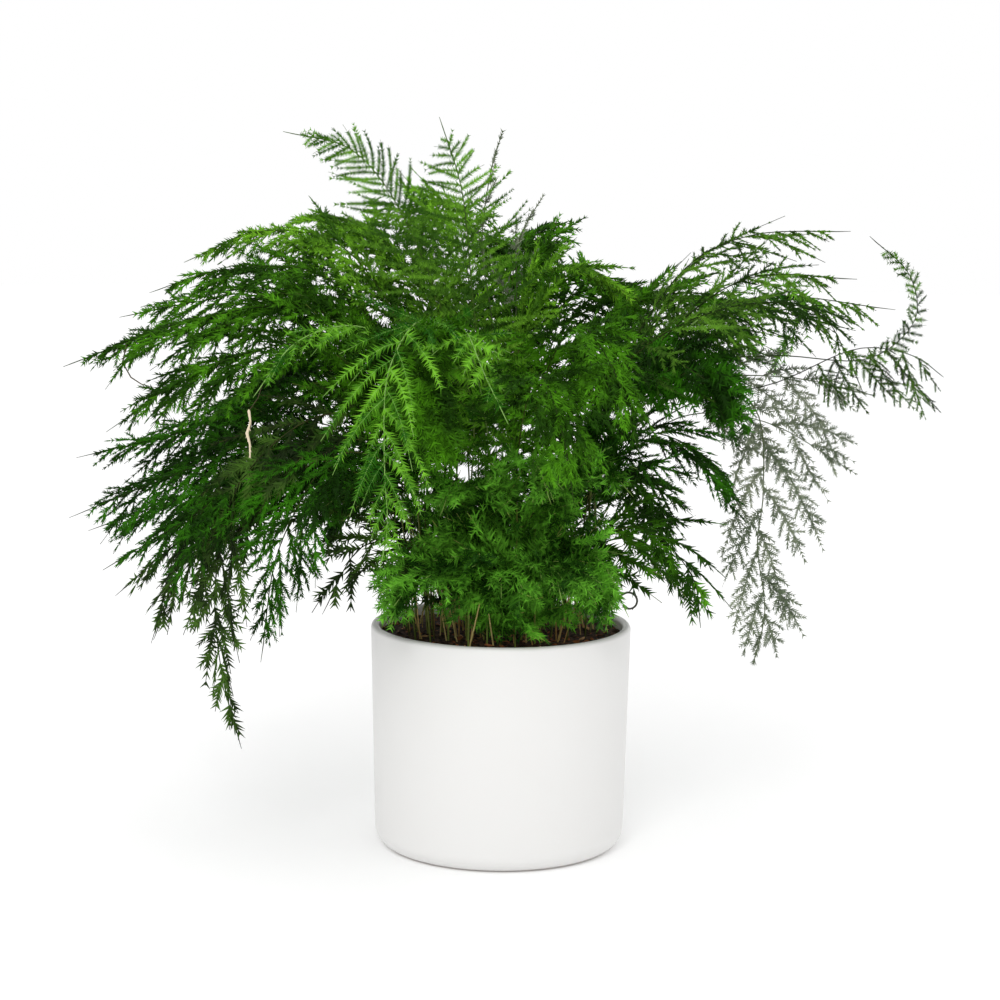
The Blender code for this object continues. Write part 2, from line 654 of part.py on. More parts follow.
def build_frond(frond, stem, spikes):
    """One frond as a single closed solid."""
    node = mesh_object(f"frond_{frond.name}", stem.shape(), frond.finish)
    repeats = new_collection("repeats")
    for spike in spikes:
        mesh_object("spike", spike.shape(), frond.finish, repeats)
    boolean(node, "UNION", repeats)
    return node


def hole_for(stem, radius, holes):
    """A cutter round the buried part of a stem."""
    foot, top = stem.rings[0].mean(axis=0), stem.rings[1].mean(axis=0)
    rise = unit(top - foot)
    outward = (stem.rings[0] - foot) * (1 + GAP / (radius * math.cos(math.pi / SIDES)))
    rings = [foot - rise * GAP + outward, top + rise * STEM_EXIT + outward]
    mesh_object("hole", Rod(rings, top + rise * 2 * STEM_EXIT).shape(), "soil", holes)


def tendril_path():
    """The dried tendril's line: up out of the soil, over the rim and round its curl."""
    curl = []
    for step in range(1, TENDRIL_CURL_STEPS):
        turn = step * TENDRIL_CURL_TURN
        radius = TENDRIL_CURL_RADIUS * (1 - TENDRIL_CURL_SHRINK * step)
        offset = np.array((-math.cos(turn), TENDRIL_CURL_DRIFT * step, math.sin(turn)))
        curl.append(np.array(TENDRIL_CURL_CENTRE) + radius * offset)
    return np.array([*TENDRIL_RISE, *curl]) * MM


def main():
    """Build every piece."""
    clear_scene()
    build_pot()
    soil = build_soil()
    holes = new_collection("holes")

    space = Space()
    tendril = frond_stem(rooted(tendril_path()), np.array((0.0, 1.0, 0.0)), 0, TENDRIL_RADIUS,
                         TENDRIL_RADIUS)
    space.add("tendril", tendril.line(), TENDRIL_RADIUS)
    mesh_object("tendril", tendril.shape(), "dry")
    hole_for(tendril, TENDRIL_RADIUS, holes)

    stems, sides = {}, {}
    for frond, root in zip(FRONDS, root_spots()):
        line = stem_path(root, frond.through)
        for bow in STEM_BOWS:
            path = rooted(thinned(bowed(line, level_side(line), bow), STEM_STEP))
            if space.is_clear(frond.name, path, STEM_RADIUS):
                break
        else:
            raise ValueError(f"{frond.name} touches another stem")
        space.add(frond.name, path, STEM_RADIUS)
        sides[frond.name] = level_side(line)
        stems[frond.name] = frond_stem(path, sides[frond.name], frond.roll, STEM_RADIUS,
                                       STEM_TIP_RADIUS)
        hole_for(stems[frond.name], STEM_RADIUS, holes)
    boolean(soil, "DIFFERENCE", holes)

    branches = {frond.name: place_branches(frond, stems[frond.name],
                                           sides[frond.name], space) for frond in FRONDS}
    for frond in FRONDS:
        stem, sprays = stems[frond.name], branches[frond.name]
        build_frond(frond, stem, sprays + place_needles(frond, stem, sprays, space))


main()
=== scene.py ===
"""Potted asparagus fern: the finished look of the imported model.

Metres with +Z up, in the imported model's frame. The origin is under the middle of the pot, on the
surface that it stands on, and the front of the plant faces -Y.
"""

import math
import random
from collections import namedtuple

import bmesh
import bpy
import numpy as np
from mathutils import Matrix, Vector, noise


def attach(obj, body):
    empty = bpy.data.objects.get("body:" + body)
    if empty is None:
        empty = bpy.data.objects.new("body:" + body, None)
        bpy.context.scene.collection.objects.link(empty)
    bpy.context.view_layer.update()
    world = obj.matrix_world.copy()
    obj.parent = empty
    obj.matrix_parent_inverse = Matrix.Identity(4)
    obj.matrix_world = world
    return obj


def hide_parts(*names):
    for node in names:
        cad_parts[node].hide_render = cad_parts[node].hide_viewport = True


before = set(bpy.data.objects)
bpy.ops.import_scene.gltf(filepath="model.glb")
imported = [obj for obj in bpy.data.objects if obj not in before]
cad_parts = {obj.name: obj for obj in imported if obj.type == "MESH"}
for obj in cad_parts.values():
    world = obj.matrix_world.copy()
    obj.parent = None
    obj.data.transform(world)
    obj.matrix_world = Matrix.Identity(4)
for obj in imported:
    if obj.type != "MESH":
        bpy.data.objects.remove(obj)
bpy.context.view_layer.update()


# Pot: a cylinder of white stoneware with a slight taper, a rounded foot and a thin rounded rim.
# It is cast in one piece and dipped in a satin white glaze, wiped off the ring that it stands on.
MM = 0.001
POT_HEIGHT = 147 * MM
POT_RIM_RADIUS = 85 * MM
POT_FOOT_RADIUS = 82 * MM
POT_FOOT_CORNER = 12 * MM
POT_FOOT_RING = 4 * MM
POT_WALL = 5.6 * MM
POT_FLOOR = 8 * MM
POT_INNER_CORNER = 8 * MM
POT_SIDES = 144
FOOT_STEPS = 10
RIM_STEPS = 12
INNER_STEPS = 5
GLAZE_WHITE = (0.74, 0.735, 0.725, 1)
GLAZE_THIN = (0.69, 0.675, 0.655, 1)
STONEWARE = (0.42, 0.37, 0.32, 1)
GLAZE_POOLS = 45 * MM
GLAZE_PEEL = 2.2 * MM
GLAZE_PEEL_DEPTH = 0.03 * MM
GLAZE_WANDER = 1.5 * MM
THIN_BELOW_RIM = 1.5 * MM
THIN_ABOVE_RIM = 1.2 * MM
THIN_SHOWS = 0.7
BARE_HEIGHT = 1.0 * MM
BARE_BLEND = 0.5 * MM


class Wire:
    """An output of a node. Sums and products of it add Math nodes."""

    def __init__(self, nodes, socket):
        self.nodes = nodes
        self.socket = socket

    def beside(self, out):
        """Another output of the same node."""
        return Wire(self.nodes, self.socket.node.outputs[out])

    def __add__(self, other):
        return self.nodes.maths("ADD", self, other)

    def __sub__(self, other):
        return self.nodes.maths("SUBTRACT", self, other)

    def __rsub__(self, other):
        return self.nodes.maths("SUBTRACT", other, self)

    def __mul__(self, other):
        return self.nodes.maths("MULTIPLY", self, other)

    def __truediv__(self, other):
        return self.nodes.maths("DIVIDE", self, other)

    def __rtruediv__(self, other):
        return self.nodes.maths("DIVIDE", other, self)

    def __gt__(self, other):
        return self.nodes.maths("GREATER_THAN", self, other)

    def __lt__(self, other):
        return self.nodes.maths("LESS_THAN", self, other)

    __radd__ = __add__
    __rmul__ = __mul__


class Nodes:
    """A node tree, with one method that adds any node."""

    def __init__(self, tree):
        self.tree = tree

    def add(self, kind, settings=None, sockets=None, out=0):
        """Add a node, set it up, fill or wire its inputs, and give one of its outputs.

        A list is wired in its order to an input that takes several.
        """
        node = self.tree.nodes.new(kind)
        for name, value in (settings or {}).items():
            setattr(node, name, value)
        for name, given in (sockets or {}).items():
            for value in given if isinstance(given, list) else [given]:
                if isinstance(value, Wire):
                    self.tree.links.new(value.socket, node.inputs[name])
                else:
                    node.inputs[name].default_value = value
        return Wire(self, node.outputs[out]) if node.outputs else None

    def maths(self, operation, *values):
        """A Math node on some values."""
        return self.add("ShaderNodeMath", {"operation": operation}, dict(enumerate(values)))

    def parts(self, vector):
        """The x, y and z of a vector."""
        x = self.add("ShaderNodeSeparateXYZ", {}, {0: vector})
        return x, x.beside(1), x.beside(2)

    def vector(self, x, y, z):
        """The vector of an x, a y and a z."""
        return self.add("ShaderNodeCombineXYZ", {}, {0: x, 1: y, 2: z})

    def mixed(self, factor, first, second):
        """A colour between two colours."""
        return self.add("ShaderNodeMix", {"data_type": "RGBA"}, {0: factor, 6: first, 7: second},
                        out=2)

    def clouds(self, size, detail=2.0):
        """Soft noise from 0 to 1 over the piece, its patches about size across."""
        place = self.add("ShaderNodeTexCoord", out="Object")
        return self.add("ShaderNodeTexNoise", {}, {"Vector": place, "Scale": 1 / size,
                                                   "Detail": detail})

    def smooth_step(self, value, low, high):
        """The value eased from 0 at low to 1 at high."""
        return self.add("ShaderNodeMapRange", {"interpolation_type": "SMOOTHSTEP"},
                        {"Value": value, "From Min": low, "From Max": high})

    def surface(self, sockets, bump=None, depth=0.0):
        """The shader that ends a material, with a bump of so many metres."""
        if bump is not None:
            sockets = {**sockets, "Normal": self.add(
                "ShaderNodeBump", {}, {"Strength": 1.0, "Distance": depth, "Height": bump})}
        shader = self.add("ShaderNodeBsdfPrincipled", {}, sockets)
        self.add("ShaderNodeOutputMaterial", {}, {"Surface": shader})


def blank_material(name):
    """A material with an empty node tree, and that tree."""
    material = bpy.data.materials.new(name)
    material.use_nodes = True
    material.node_tree.nodes.clear()
    return material, Nodes(material.node_tree)


def white_glaze():
    """Satin white glaze: faintly uneven, thinner at the rim, with bare stoneware under the foot."""
    material, nodes = blank_material("white_glaze")
    height = nodes.parts(nodes.add("ShaderNodeTexCoord", out="Object"))[2]
    pooled = nodes.clouds(GLAZE_POOLS)
    orange_peel = nodes.clouds(GLAZE_PEEL, 1.0)
    thin = nodes.smooth_step(height + pooled * GLAZE_WANDER, POT_HEIGHT - THIN_BELOW_RIM,
                             POT_HEIGHT + THIN_ABOVE_RIM)
    bare = nodes.smooth_step(BARE_HEIGHT - height, -BARE_BLEND, BARE_BLEND)
    glaze = nodes.mixed(thin * THIN_SHOWS + pooled * 0.18, GLAZE_WHITE, GLAZE_THIN)
    nodes.surface({"Base Color": nodes.mixed(bare, glaze, STONEWARE),
                   "Roughness": bare * 0.4 + pooled * 0.12 + 0.30,
                   "Specular IOR Level": 0.42}, orange_peel + pooled * 2, GLAZE_PEEL_DEPTH)
    return material


def arc(centre, radius, start, end, steps):
    """Points on a round stretch of a profile, angles in degrees."""
    angles = (math.radians(start + (end - start) * i / steps) for i in range(steps + 1))
    return [(centre[0] + radius * math.cos(a), centre[1] + radius * math.sin(a)) for a in angles]


def placed(name, data):
    """A new object that stands in the scene."""
    thing = bpy.data.objects.new(name, data)
    bpy.context.scene.collection.objects.link(thing)
    return thing


def shaped(name, shape, material):
    """A new object made from a bmesh, in one material."""
    mesh = bpy.data.meshes.new(name)
    shape.to_mesh(mesh)
    shape.free()
    mesh.materials.append(material)
    return placed(name, mesh)


def keep(name, shape, material, node):
    """Make a piece from a bmesh, in place of a node of the model."""
    piece = shaped(name, shape, material)
    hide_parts(node)
    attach(piece, "root")
    return piece


def turned(profile, sides):
    """A bmesh of revolution from (radius, height) points that start and end on the axis."""
    shape = bmesh.new()
    turns = [math.tau * side / sides for side in range(sides)]
    rings = [[shape.verts.new((radius * math.cos(turn), radius * math.sin(turn), height))
              for turn in (turns if radius else [0.0])] for radius, height in profile]
    for ring, above in zip(rings, rings[1:]):
        for side in range(sides):
            corners = [ring[side % len(ring)], ring[(side + 1) % len(ring)],
                       above[(side + 1) % len(above)], above[side % len(above)]]
            shape.faces.new(tuple(dict.fromkeys(corners))).smooth = True
    return shape


inner_top = POT_RIM_RADIUS - POT_WALL
inner_foot = POT_FOOT_RADIUS - POT_WALL
rim = POT_WALL / 2
pot_profile = [(0.0, 0.0), (POT_FOOT_RADIUS - POT_FOOT_CORNER - POT_FOOT_RING, 0.0)]
pot_profile += arc((POT_FOOT_RADIUS - POT_FOOT_CORNER, POT_FOOT_CORNER), POT_FOOT_CORNER,
                   -90, 0, FOOT_STEPS)
pot_profile += arc((POT_RIM_RADIUS - rim, POT_HEIGHT - rim), rim, 0, 180, RIM_STEPS)
pot_profile += arc((inner_foot - POT_INNER_CORNER, POT_FLOOR + POT_INNER_CORNER),
                   POT_INNER_CORNER, 0, -90, INNER_STEPS)
pot_profile += [(0.0, POT_FLOOR)]
keep("pot_glazed", turned(pot_profile, POT_SIDES), white_glaze(), "pot")


# Soil: a dark potting mix of peat and composted bark that fills the pot to 7 mm below the rim.
# It is one crumbly mass, raised a little where the crowns of the plant push it up.
SOIL_TOP = 140 * MM
SOIL_SIDES = 128
SOIL_RINGS = 40
SOIL_GAP = 0.3 * MM
SOIL_RISE = 2.5 * MM
SOIL_CRUMB = 2.2 * MM
PEAT_CRUMBS = 3.0 * MM
PEAT_FIBRES = 0.9 * MM
PEAT_DEPTH = 0.8 * MM
PEAT_DARK = (0.022, 0.012, 0.008, 1)
PEAT_LIGHT = (0.150, 0.075, 0.040, 1)

# The crumbs on top, large and small: how far apart they are, and how much of SOIL_CRUMB each adds.
SOIL_CRUMBS = ((9 * MM, 0.6), (3.4 * MM, 0.5))


def potting_mix():
    """Dark peat with lighter fibres in it, and painted light: the fibres show lighter on the tops
    of the crumbs.
    """
    material, nodes = blank_material("potting_mix")
    crumbs = nodes.clouds(PEAT_CRUMBS, 4.0)
    fibres = nodes.clouds(PEAT_FIBRES, 2.0)
    # Painted light: this mask follows the crumbs' height, so the tops of the crumbs are lighter and
    # a little less rough.
    lit = nodes.smooth_step(crumbs, 0.40, 0.72)
    nodes.surface({"Base Color": nodes.mixed(lit * fibres * 1.6, PEAT_DARK, PEAT_LIGHT),
                   "Roughness": 0.95 - lit * 0.15, "Specular IOR Level": 0.2},
                  crumbs + fibres * 0.5, PEAT_DEPTH)
    return material


def soil_height(x, y):
    """How far the crumbly top stands above the level of the soil."""
    place = Vector((x, y, 0.0))
    rise = SOIL_RISE * (1 - (place.length / inner_top) ** 2)
    return rise + SOIL_CRUMB * sum(noise.noise(place / size) * share
                                   for size, share in SOIL_CRUMBS)


top_radius = inner_top - SOIL_GAP
foot_radius = inner_foot - SOIL_GAP
soil_profile = [(0.0, POT_FLOOR + SOIL_GAP)]
soil_profile += arc((foot_radius - POT_INNER_CORNER, POT_FLOOR + SOIL_GAP + POT_INNER_CORNER),
                    POT_INNER_CORNER, -90, 0, INNER_STEPS)
soil_profile += [(top_radius * ring / SOIL_RINGS, SOIL_TOP)
                 for ring in reversed(range(SOIL_RINGS + 1))]
soil_shape = turned(soil_profile, SOIL_SIDES)
for vert in soil_shape.verts:
    if vert.co.z > SOIL_TOP - SOIL_GAP:
        vert.co.z += soil_height(vert.co.x, vert.co.y)
soil = keep("soil_crumbly", soil_shape, potting_mix(), "soil")


# Bark chips: flat splinters of composted bark, reddish brown with a few tan ones, lying loose on
# the soil. They are scattered over its top by a node tree.
CHIP_COUNT = 420
CHIP_SIZE = 7 * MM
CHIP_SEED = 3
BARK_GRAIN = 1.1 * MM
BARK_DEPTH = 0.4 * MM
BARK_BLACK = (0.018, 0.010, 0.007, 1)
BARK_RED = (0.420, 0.150, 0.055, 1)
BARK_TAN = (0.780, 0.460, 0.220, 1)

# How chips differ: how upright the soil under one is at least, how jagged it is, its tilt in
# radians, its share of the size, and its length, width and thickness in shares of that.
CHIP_UPRIGHT = 0.4
CHIP_JAG = 0.4
CHIP_TILT = 0.6
CHIP_SHARES = (0.35, 1.0)
CHIP_LENGTHS = (0.7, 1.4)
CHIP_WIDTHS = (0.3, 0.7)
CHIP_THICKNESS = 0.28


def painted(nodes, name):
    """A number that the mesh carries under a name."""
    return nodes.add("ShaderNodeAttribute", {"attribute_name": name}, out=2)


def composted_bark():
    """Bark from near black to red, with a few tan chips, and grain along each chip."""
    material, nodes = blank_material("composted_bark")
    shade = painted(nodes, "shade")
    grain = nodes.clouds(BARK_GRAIN, 3.0)
    red = nodes.mixed(nodes.smooth_step(shade, 0.10, 0.75), BARK_BLACK, BARK_RED)
    tan = nodes.mixed(nodes.smooth_step(shade, 0.86, 0.92), red, BARK_TAN)
    nodes.surface({"Base Color": nodes.mixed(grain * 0.6, tan, BARK_BLACK),
                   "Roughness": grain * 0.2 + 0.75, "Specular IOR Level": 0.25},
                  grain, BARK_DEPTH)
    return material


def new_tree(name, inputs):
    """A geometry node tree with named inputs: the tree, and its inputs by name."""
    group = bpy.data.node_groups.new(name, "GeometryNodeTree")
    group.interface.new_socket("Result", in_out="OUTPUT", socket_type="NodeSocketGeometry")
    for label, kind in inputs.items():
        group.interface.new_socket(label, in_out="INPUT", socket_type=f"NodeSocket{kind}")
    nodes = Nodes(group)
    entry = group.nodes.new("NodeGroupInput")
    return nodes, {label: Wire(nodes, entry.outputs[label]) for label in inputs}


def drawn(nodes, low, high, seed):
    """A number drawn at random for each point."""
    return nodes.add("FunctionNodeRandomValue", {}, {2: low, 3: high, "Seed": seed}, out=1)


def stored(nodes, geometry, name, value, domain):
    """The geometry with a number kept on it under a name."""
    return nodes.add("GeometryNodeStoreNamedAttribute", {"domain": domain},
                     {"Geometry": geometry, "Name": name, "Value": value})


def ended(nodes, geometry, material):
    """End a tree: make its copies real and give them their material."""
    real = nodes.add("GeometryNodeRealizeInstances", {}, {"Geometry": geometry})
    result = nodes.add("GeometryNodeSetMaterial", {}, {"Geometry": real, "Material": material})
    nodes.add("NodeGroupOutput", {}, {0: result})


def grow(piece, nodes, values):
    """Run a tree on a piece and keep the result as its plain mesh."""
    modifier = piece.modifiers.new("grow", "NODES")
    modifier.node_group = nodes.tree
    for item in nodes.tree.interface.items_tree:
        if item.in_out == "INPUT" and item.name in values:
            modifier[item.identifier] = values[item.name]
    evaluated = piece.evaluated_get(bpy.context.evaluated_depsgraph_get())
    result = bpy.data.meshes.new_from_object(evaluated)
    piece.modifiers.remove(modifier)
    spare, piece.data = piece.data, result
    bpy.data.meshes.remove(spare)
    return piece


def chip_tree():
    """Flat splinters scattered on upward faces, half sunk, each with its own size and turn."""
    nodes, given = new_tree("bark_chips", {
        "Soil": "Geometry", "Count": "Float", "Size": "Float", "Seed": "Int",
        "Material": "Material"})
    normal = nodes.add("GeometryNodeInputNormal")
    facing_up = nodes.parts(normal)[2] > CHIP_UPRIGHT
    area = math.pi * top_radius ** 2
    points = nodes.add("GeometryNodeDistributePointsOnFaces", {}, {
        "Mesh": given["Soil"], "Selection": facing_up, "Density": given["Count"] * (1 / area),
        "Seed": given["Seed"]})
    ball = nodes.add("GeometryNodeMeshIcoSphere", {}, {"Radius": 0.5, "Subdivisions": 1})
    jag = nodes.add("ShaderNodeTexWhiteNoise", {}, {
        "Vector": nodes.add("GeometryNodeInputPosition")}, out=1)
    splinter = nodes.add("GeometryNodeSetPosition", {}, {
        "Geometry": ball,
        "Offset": nodes.add("ShaderNodeVectorMath", {"operation": "MULTIPLY_ADD"}, {
            0: jag, 1: (CHIP_JAG,) * 3, 2: (-CHIP_JAG / 2,) * 3})})
    seed = given["Seed"]
    turn = nodes.vector(drawn(nodes, -CHIP_TILT, CHIP_TILT, seed + 1),
                        drawn(nodes, -CHIP_TILT, CHIP_TILT, seed + 2),
                        drawn(nodes, 0.0, math.tau, seed + 3))
    size = given["Size"] * drawn(nodes, *CHIP_SHARES, seed + 4)
    scale = nodes.vector(size * drawn(nodes, *CHIP_LENGTHS, seed + 5),
                         size * drawn(nodes, *CHIP_WIDTHS, seed + 6), size * CHIP_THICKNESS)
    chips = nodes.add("GeometryNodeInstanceOnPoints", {}, {
        "Points": points, "Instance": splinter,
        "Rotation": nodes.add("FunctionNodeEulerToRotation", {}, {0: turn}), "Scale": scale})
    ended(nodes, stored(nodes, chips, "shade", drawn(nodes, 0.0, 1.0, seed + 7), "INSTANCE"),
          given["Material"])
    return nodes


chips = placed("bark_chips", soil.data.copy())
grow(chips, chip_tree(), {"Count": CHIP_COUNT, "Size": CHIP_SIZE, "Seed": CHIP_SEED,
                          "Material": composted_bark()})
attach(chips, "root")


# Fronds: wiry green stems that stand in the soil and arch over, with side branches in one flat
# layer, twigs on those, and needles all along the twigs. Each frond is one grown piece, its wood
# and needles made by one node tree along lines that are laid out here.
STEM_DEPTH = 22 * MM
STEM_LIFT = (0.38, 0.38, 0.55)
CURVE_STEPS = 7
ROOT_SHARE = 0.42
ROOT_SPREAD = 62 * MM
ROOT_SPACING = 12 * MM
ROOT_ROUNDS = 400
ROOT_PUSH = 0.3
UP = np.array((0.0, 0.0, 1.0))
BACK = np.array((0.0, 1.0, 0.0))

Frond = namedtuple("Frond", "name through leafy_from reach roll finish")

# Each frond: the points in millimetres that its stem passes through above the soil, the part of
# its length that is bare, its longest side branch in millimetres, the roll of its flat layer in
# degrees, and its finish.
FRONDS = [Frond(*row) for row in (
    ("left_01", [(-50, 10, 300), (-105, 20, 390), (-160, 30, 399), (-211, 40, 378)],
     0.28, 55, 25, "mid"),
    ("left_02", [(-55, -5, 290), (-115, -5, 372), (-180, -10, 376), (-227, -10, 361)],
     0.28, 65, 25, "mid"),
    ("left_03", [(-70, 35, 280), (-140, 50, 358), (-200, 58, 352), (-257, 60, 340)],
     0.28, 65, 40, "mid"),
    ("left_04", [(-60, -10, 285), (-115, -15, 350), (-195, -20, 346),
                 (-240, -20, 330), (-281, -20, 314)], 0.28, 65, 22, "mid"),
    ("left_05", [(-60, -30, 265), (-115, -45, 330), (-185, -55, 318), (-248, -60, 277)],
     0.28, 65, 21, "mid"),
    ("left_06", [(-65, 20, 250), (-125, 25, 295), (-200, 30, 270), (-282, 30, 249)],
     0.28, 65, 39, "deep"),
    ("left_07", [(-65, -15, 240), (-120, -20, 280), (-200, -25, 250), (-277, -30, 218)],
     0.28, 65, 41, "deep"),
    ("left_08", [(-70, 30, 225), (-125, 40, 262), (-205, 45, 225), (-278, 50, 197)],
     0.28, 65, 26, "deep"),
    ("left_09", [(-70, -45, 235), (-130, -60, 262), (-200, -75, 222), (-248, -80, 193)],
     0.28, 55, 41, "deep"),
    ("left_10", [(-75, 10, 220), (-135, 15, 246), (-210, 18, 198), (-256, 20, 158)],
     0.28, 52, 24, "deep"),
    ("left_11", [(-75, -30, 225), (-140, -40, 240), (-200, -48, 190), (-221, -50, 143)],
     0.28, 50, 37, "deep"),
    ("left_12", [(-80, 35, 230), (-155, 50, 240), (-215, 58, 185), (-238, 60, 118)],
     0.28, 40, 24, "deep"),
    ("left_13", [(-60, -35, 270), (-115, -55, 290), (-165, -65, 250),
                 (-180, -70, 190), (-176, -72, 130), (-163, -72, 78)], 0.28, 46, 39, "deep"),
    ("left_14", [(-60, -60, 250), (-100, -85, 268), (-135, -105, 215), (-147, -110, 142)],
     0.28, 52, 35, "deep"),
    ("left_15", [(-50, -35, 195), (-88, -60, 208), (-112, -72, 165)], 0.15, 55, 42, "deep"),
    ("top_01", [(-25, 5, 280), (-42, 8, 356), (-64, 10, 407),
                (-80, 10, 434), (-101, 10, 454), (-143, 10, 464)], 0.45, 46, 90, "young"),
    ("top_02", [(-12, -5, 280), (-21, -10, 368), (-28, -15, 430), (-42, -20, 474)],
     0.45, 52, 90, "young"),
    ("top_03", [(0, 25, 280), (-9, 35, 350), (-15, 38, 393), (-9, 40, 442), (-2, 40, 466)],
     0.70, 16, 80, "pale"),
    ("top_04", [(5, 30, 270), (8, 50, 350), (10, 58, 395), (26, 60, 425)], 0.65, 34, 80, "pale"),
    ("top_05", [(-30, 35, 300), (-75, 55, 388), (-118, 65, 409), (-158, 70, 398)],
     0.30, 62, 0, "mid"),
    ("top_06", [(8, 20, 300), (20, 30, 370), (50, 36, 378), (98, 40, 352)], 0.30, 60, 0, "mid"),
    ("right_01", [(50, 5, 250), (85, 5, 334), (122, 8, 384), (160, 10, 401), (223, 10, 404)],
     0.44, 56, -19, "mid"),
    ("right_02", [(60, -10, 270), (110, -25, 345), (155, -35, 376), (221, -40, 376)],
     0.42, 58, -42, "mid"),
    ("right_03", [(60, 0, 240), (115, -5, 290), (175, -15, 308),
                  (228, -20, 331), (262, -20, 326), (281, -20, 313)], 0.74, 40, -50, "mid"),
    ("right_04", [(58, 12, 250), (112, 18, 312), (175, 20, 322), (240, 15, 322),
                  (267, 12, 348), (262, 10, 376), (235, 8, 401)], 0.74, 5, 90, "mid"),
    ("right_05", [(50, -20, 260), (88, -35, 318), (125, -48, 322), (150, -58, 280)],
     0.35, 60, -27, "mid"),
    ("right_06", [(60, 20, 230), (115, 24, 280), (172, 26, 278), (235, 28, 243)],
     0.60, 42, 75, "pale"),
    ("right_07", [(65, 35, 240), (125, 44, 300), (185, 46, 306), (248, 44, 294)],
     0.60, 38, 75, "pale"),
    ("right_08", [(65, -8, 260), (125, -3, 312), (163, 2, 290), (170, 2, 235),
                  (167, 2, 200), (173, 2, 155), (166, 2, 119)], 0.60, 46, 90, "pale"),
    ("right_09", [(50, -20, 200), (90, -30, 215), (122, -35, 185), (128, -38, 152)],
     0.30, 50, -37, "deep"),
    ("right_10", [(60, 25, 265), (112, 48, 336), (172, 60, 358), (262, 64, 350)],
     0.42, 58, -22, "mid"),
    ("right_11", [(50, -40, 285), (98, -65, 342), (158, -60, 362),
                  (196, -70, 355), (211, -72, 332), (222, -72, 309)], 0.42, 42, -36, "mid"),
    ("right_12", [(64, 30, 279), (122, 48, 341), (175, 56, 367),
                  (199, 58, 357), (189, 56, 330), (173, 54, 299)], 0.62, 16, 90, "young"),
    ("right_13", [(45, -10, 230), (88, -15, 275), (128, -20, 262), (155, -22, 225)],
     0.30, 60, -18, "deep"),
    ("front_01", [(-20, -50, 300), (-50, -105, 352), (-68, -130, 325),
                  (-70, -147, 275), (-68, -152, 231), (-72, -155, 209)], 0.35, 42, 0, "young"),
    ("front_02", [(-10, -50, 280), (-22, -110, 345), (-12, -140, 325), (3, -150, 295)],
     0.35, 42, 0, "young"),
    ("front_03", [(-35, -35, 290), (-58, -80, 342), (-46, -108, 305), (-26, -118, 252)],
     0.35, 45, 0, "mid"),
    ("front_04", [(-35, -40, 290), (-85, -75, 345), (-125, -92, 338), (-152, -100, 304)],
     0.35, 42, 0, "young"),
    ("front_05", [(20, -45, 290), (45, -100, 350), (68, -130, 320), (82, -142, 272)],
     0.35, 55, 0, "mid"),
    ("front_06", [(10, -60, 270), (22, -125, 322), (35, -155, 290), (42, -165, 250)],
     0.35, 55, 0, "mid"),
    ("low_01", [(-30, -42, 190), (-56, -66, 200), (-76, -82, 165)], 0.05, 60, -4, "cool"),
    ("low_02", [(0, -50, 190), (0, -86, 202), (0, -102, 182)], 0.05, 50, 16, "cool"),
    ("low_03", [(15, -50, 195), (30, -84, 202), (38, -101, 178)], 0.05, 60, 6, "cool"),
    ("low_04", [(30, -35, 195), (60, -58, 200), (80, -72, 165)], 0.05, 60, -29, "cool"),
    ("low_05", [(45, 0, 190), (85, -5, 205), (118, -10, 182)], 0.05, 60, -12, "cool"),
    ("low_06", [(-15, -40, 215), (-28, -75, 250), (-38, -98, 232)], 0.10, 58, 10, "cool"),
    ("low_07", [(10, -40, 215), (20, -75, 262), (30, -100, 240)], 0.10, 58, 10, "cool"),
    ("low_08", [(30, -25, 215), (58, -45, 262), (82, -62, 240)], 0.10, 58, -26, "cool"),
    ("back_01", [(-40, 50, 305), (-85, 100, 398), (-125, 145, 390), (-155, 185, 330)],
     0.28, 65, 8, "mid"),
    ("back_02", [(-18, 50, 320), (-35, 100, 415), (-50, 155, 405), (-62, 210, 340)],
     0.28, 58, -21, "mid"),
    ("back_03", [(3, 55, 310), (8, 110, 390), (14, 165, 380), (20, 225, 315)], 0.28, 62, 22, "mid"),
    ("back_04", [(25, 45, 295), (50, 95, 362), (80, 145, 356), (112, 195, 295)],
     0.28, 60, -19, "mid"),
    ("back_05", [(45, 35, 290), (90, 75, 352), (140, 108, 348), (188, 135, 300)],
     0.28, 52, 25, "mid"),
    ("back_06", [(-60, 45, 260), (-120, 75, 310), (-170, 100, 285), (-215, 120, 235)],
     0.28, 60, -11, "mid"),
    ("back_07", [(-45, 50, 210), (-80, 90, 235), (-110, 120, 205), (-125, 135, 165)],
     0.12, 50, 27, "deep"),
    ("back_08", [(45, 45, 210), (80, 80, 235), (105, 110, 205), (118, 125, 160)],
     0.12, 50, 12, "deep"),
    ("back_09", [(-4, 48, 195), (2, 80, 222), (6, 108, 196)], 0.10, 62, 14, "deep"),
)]

# How side branches are set: the angle to the stem at which the lowest sets out, in degrees, how
# late they get shorter towards the tip, and how much they hang. Some fronds have values of their
# own.
USUAL_GROWTH = (62, 2.6, 0.12)
GROWTH = {"top_01": (70, 1.8, 0.16), "top_02": (94, 3.5, 0.10), "right_01": (50, 2.6, 0.40),
          "right_02": (50, 2.6, 0.40), "right_03": (62, 5.0, 1.50), "right_04": (75, 2.6, 0.12),
          "right_10": (50, 2.6, 0.40), "right_12": (62, 2.6, 0.30), "front_01": (80, 4.0, 0.05),
          "front_02": (84, 1.8, 0.05), "front_04": (84, 1.8, 0.05), "low_01": (62, 2.6, 0.10),
          "low_02": (62, 2.6, 0.12), "low_03": (62, 2.6, 0.20), "low_04": (62, 2.6, 0.30),
          "low_05": (62, 2.6, 0.25)}

# How far some stems are bowed sideways in the middle, in millimetres, to stand clear of others.
STEM_BOWS = {"left_08": -6, "left_13": -11, "left_15": -6, "right_12": 11, "right_13": 6,
             "low_01": -22, "low_05": 6, "low_06": 6, "low_08": 6, "back_07": -6}

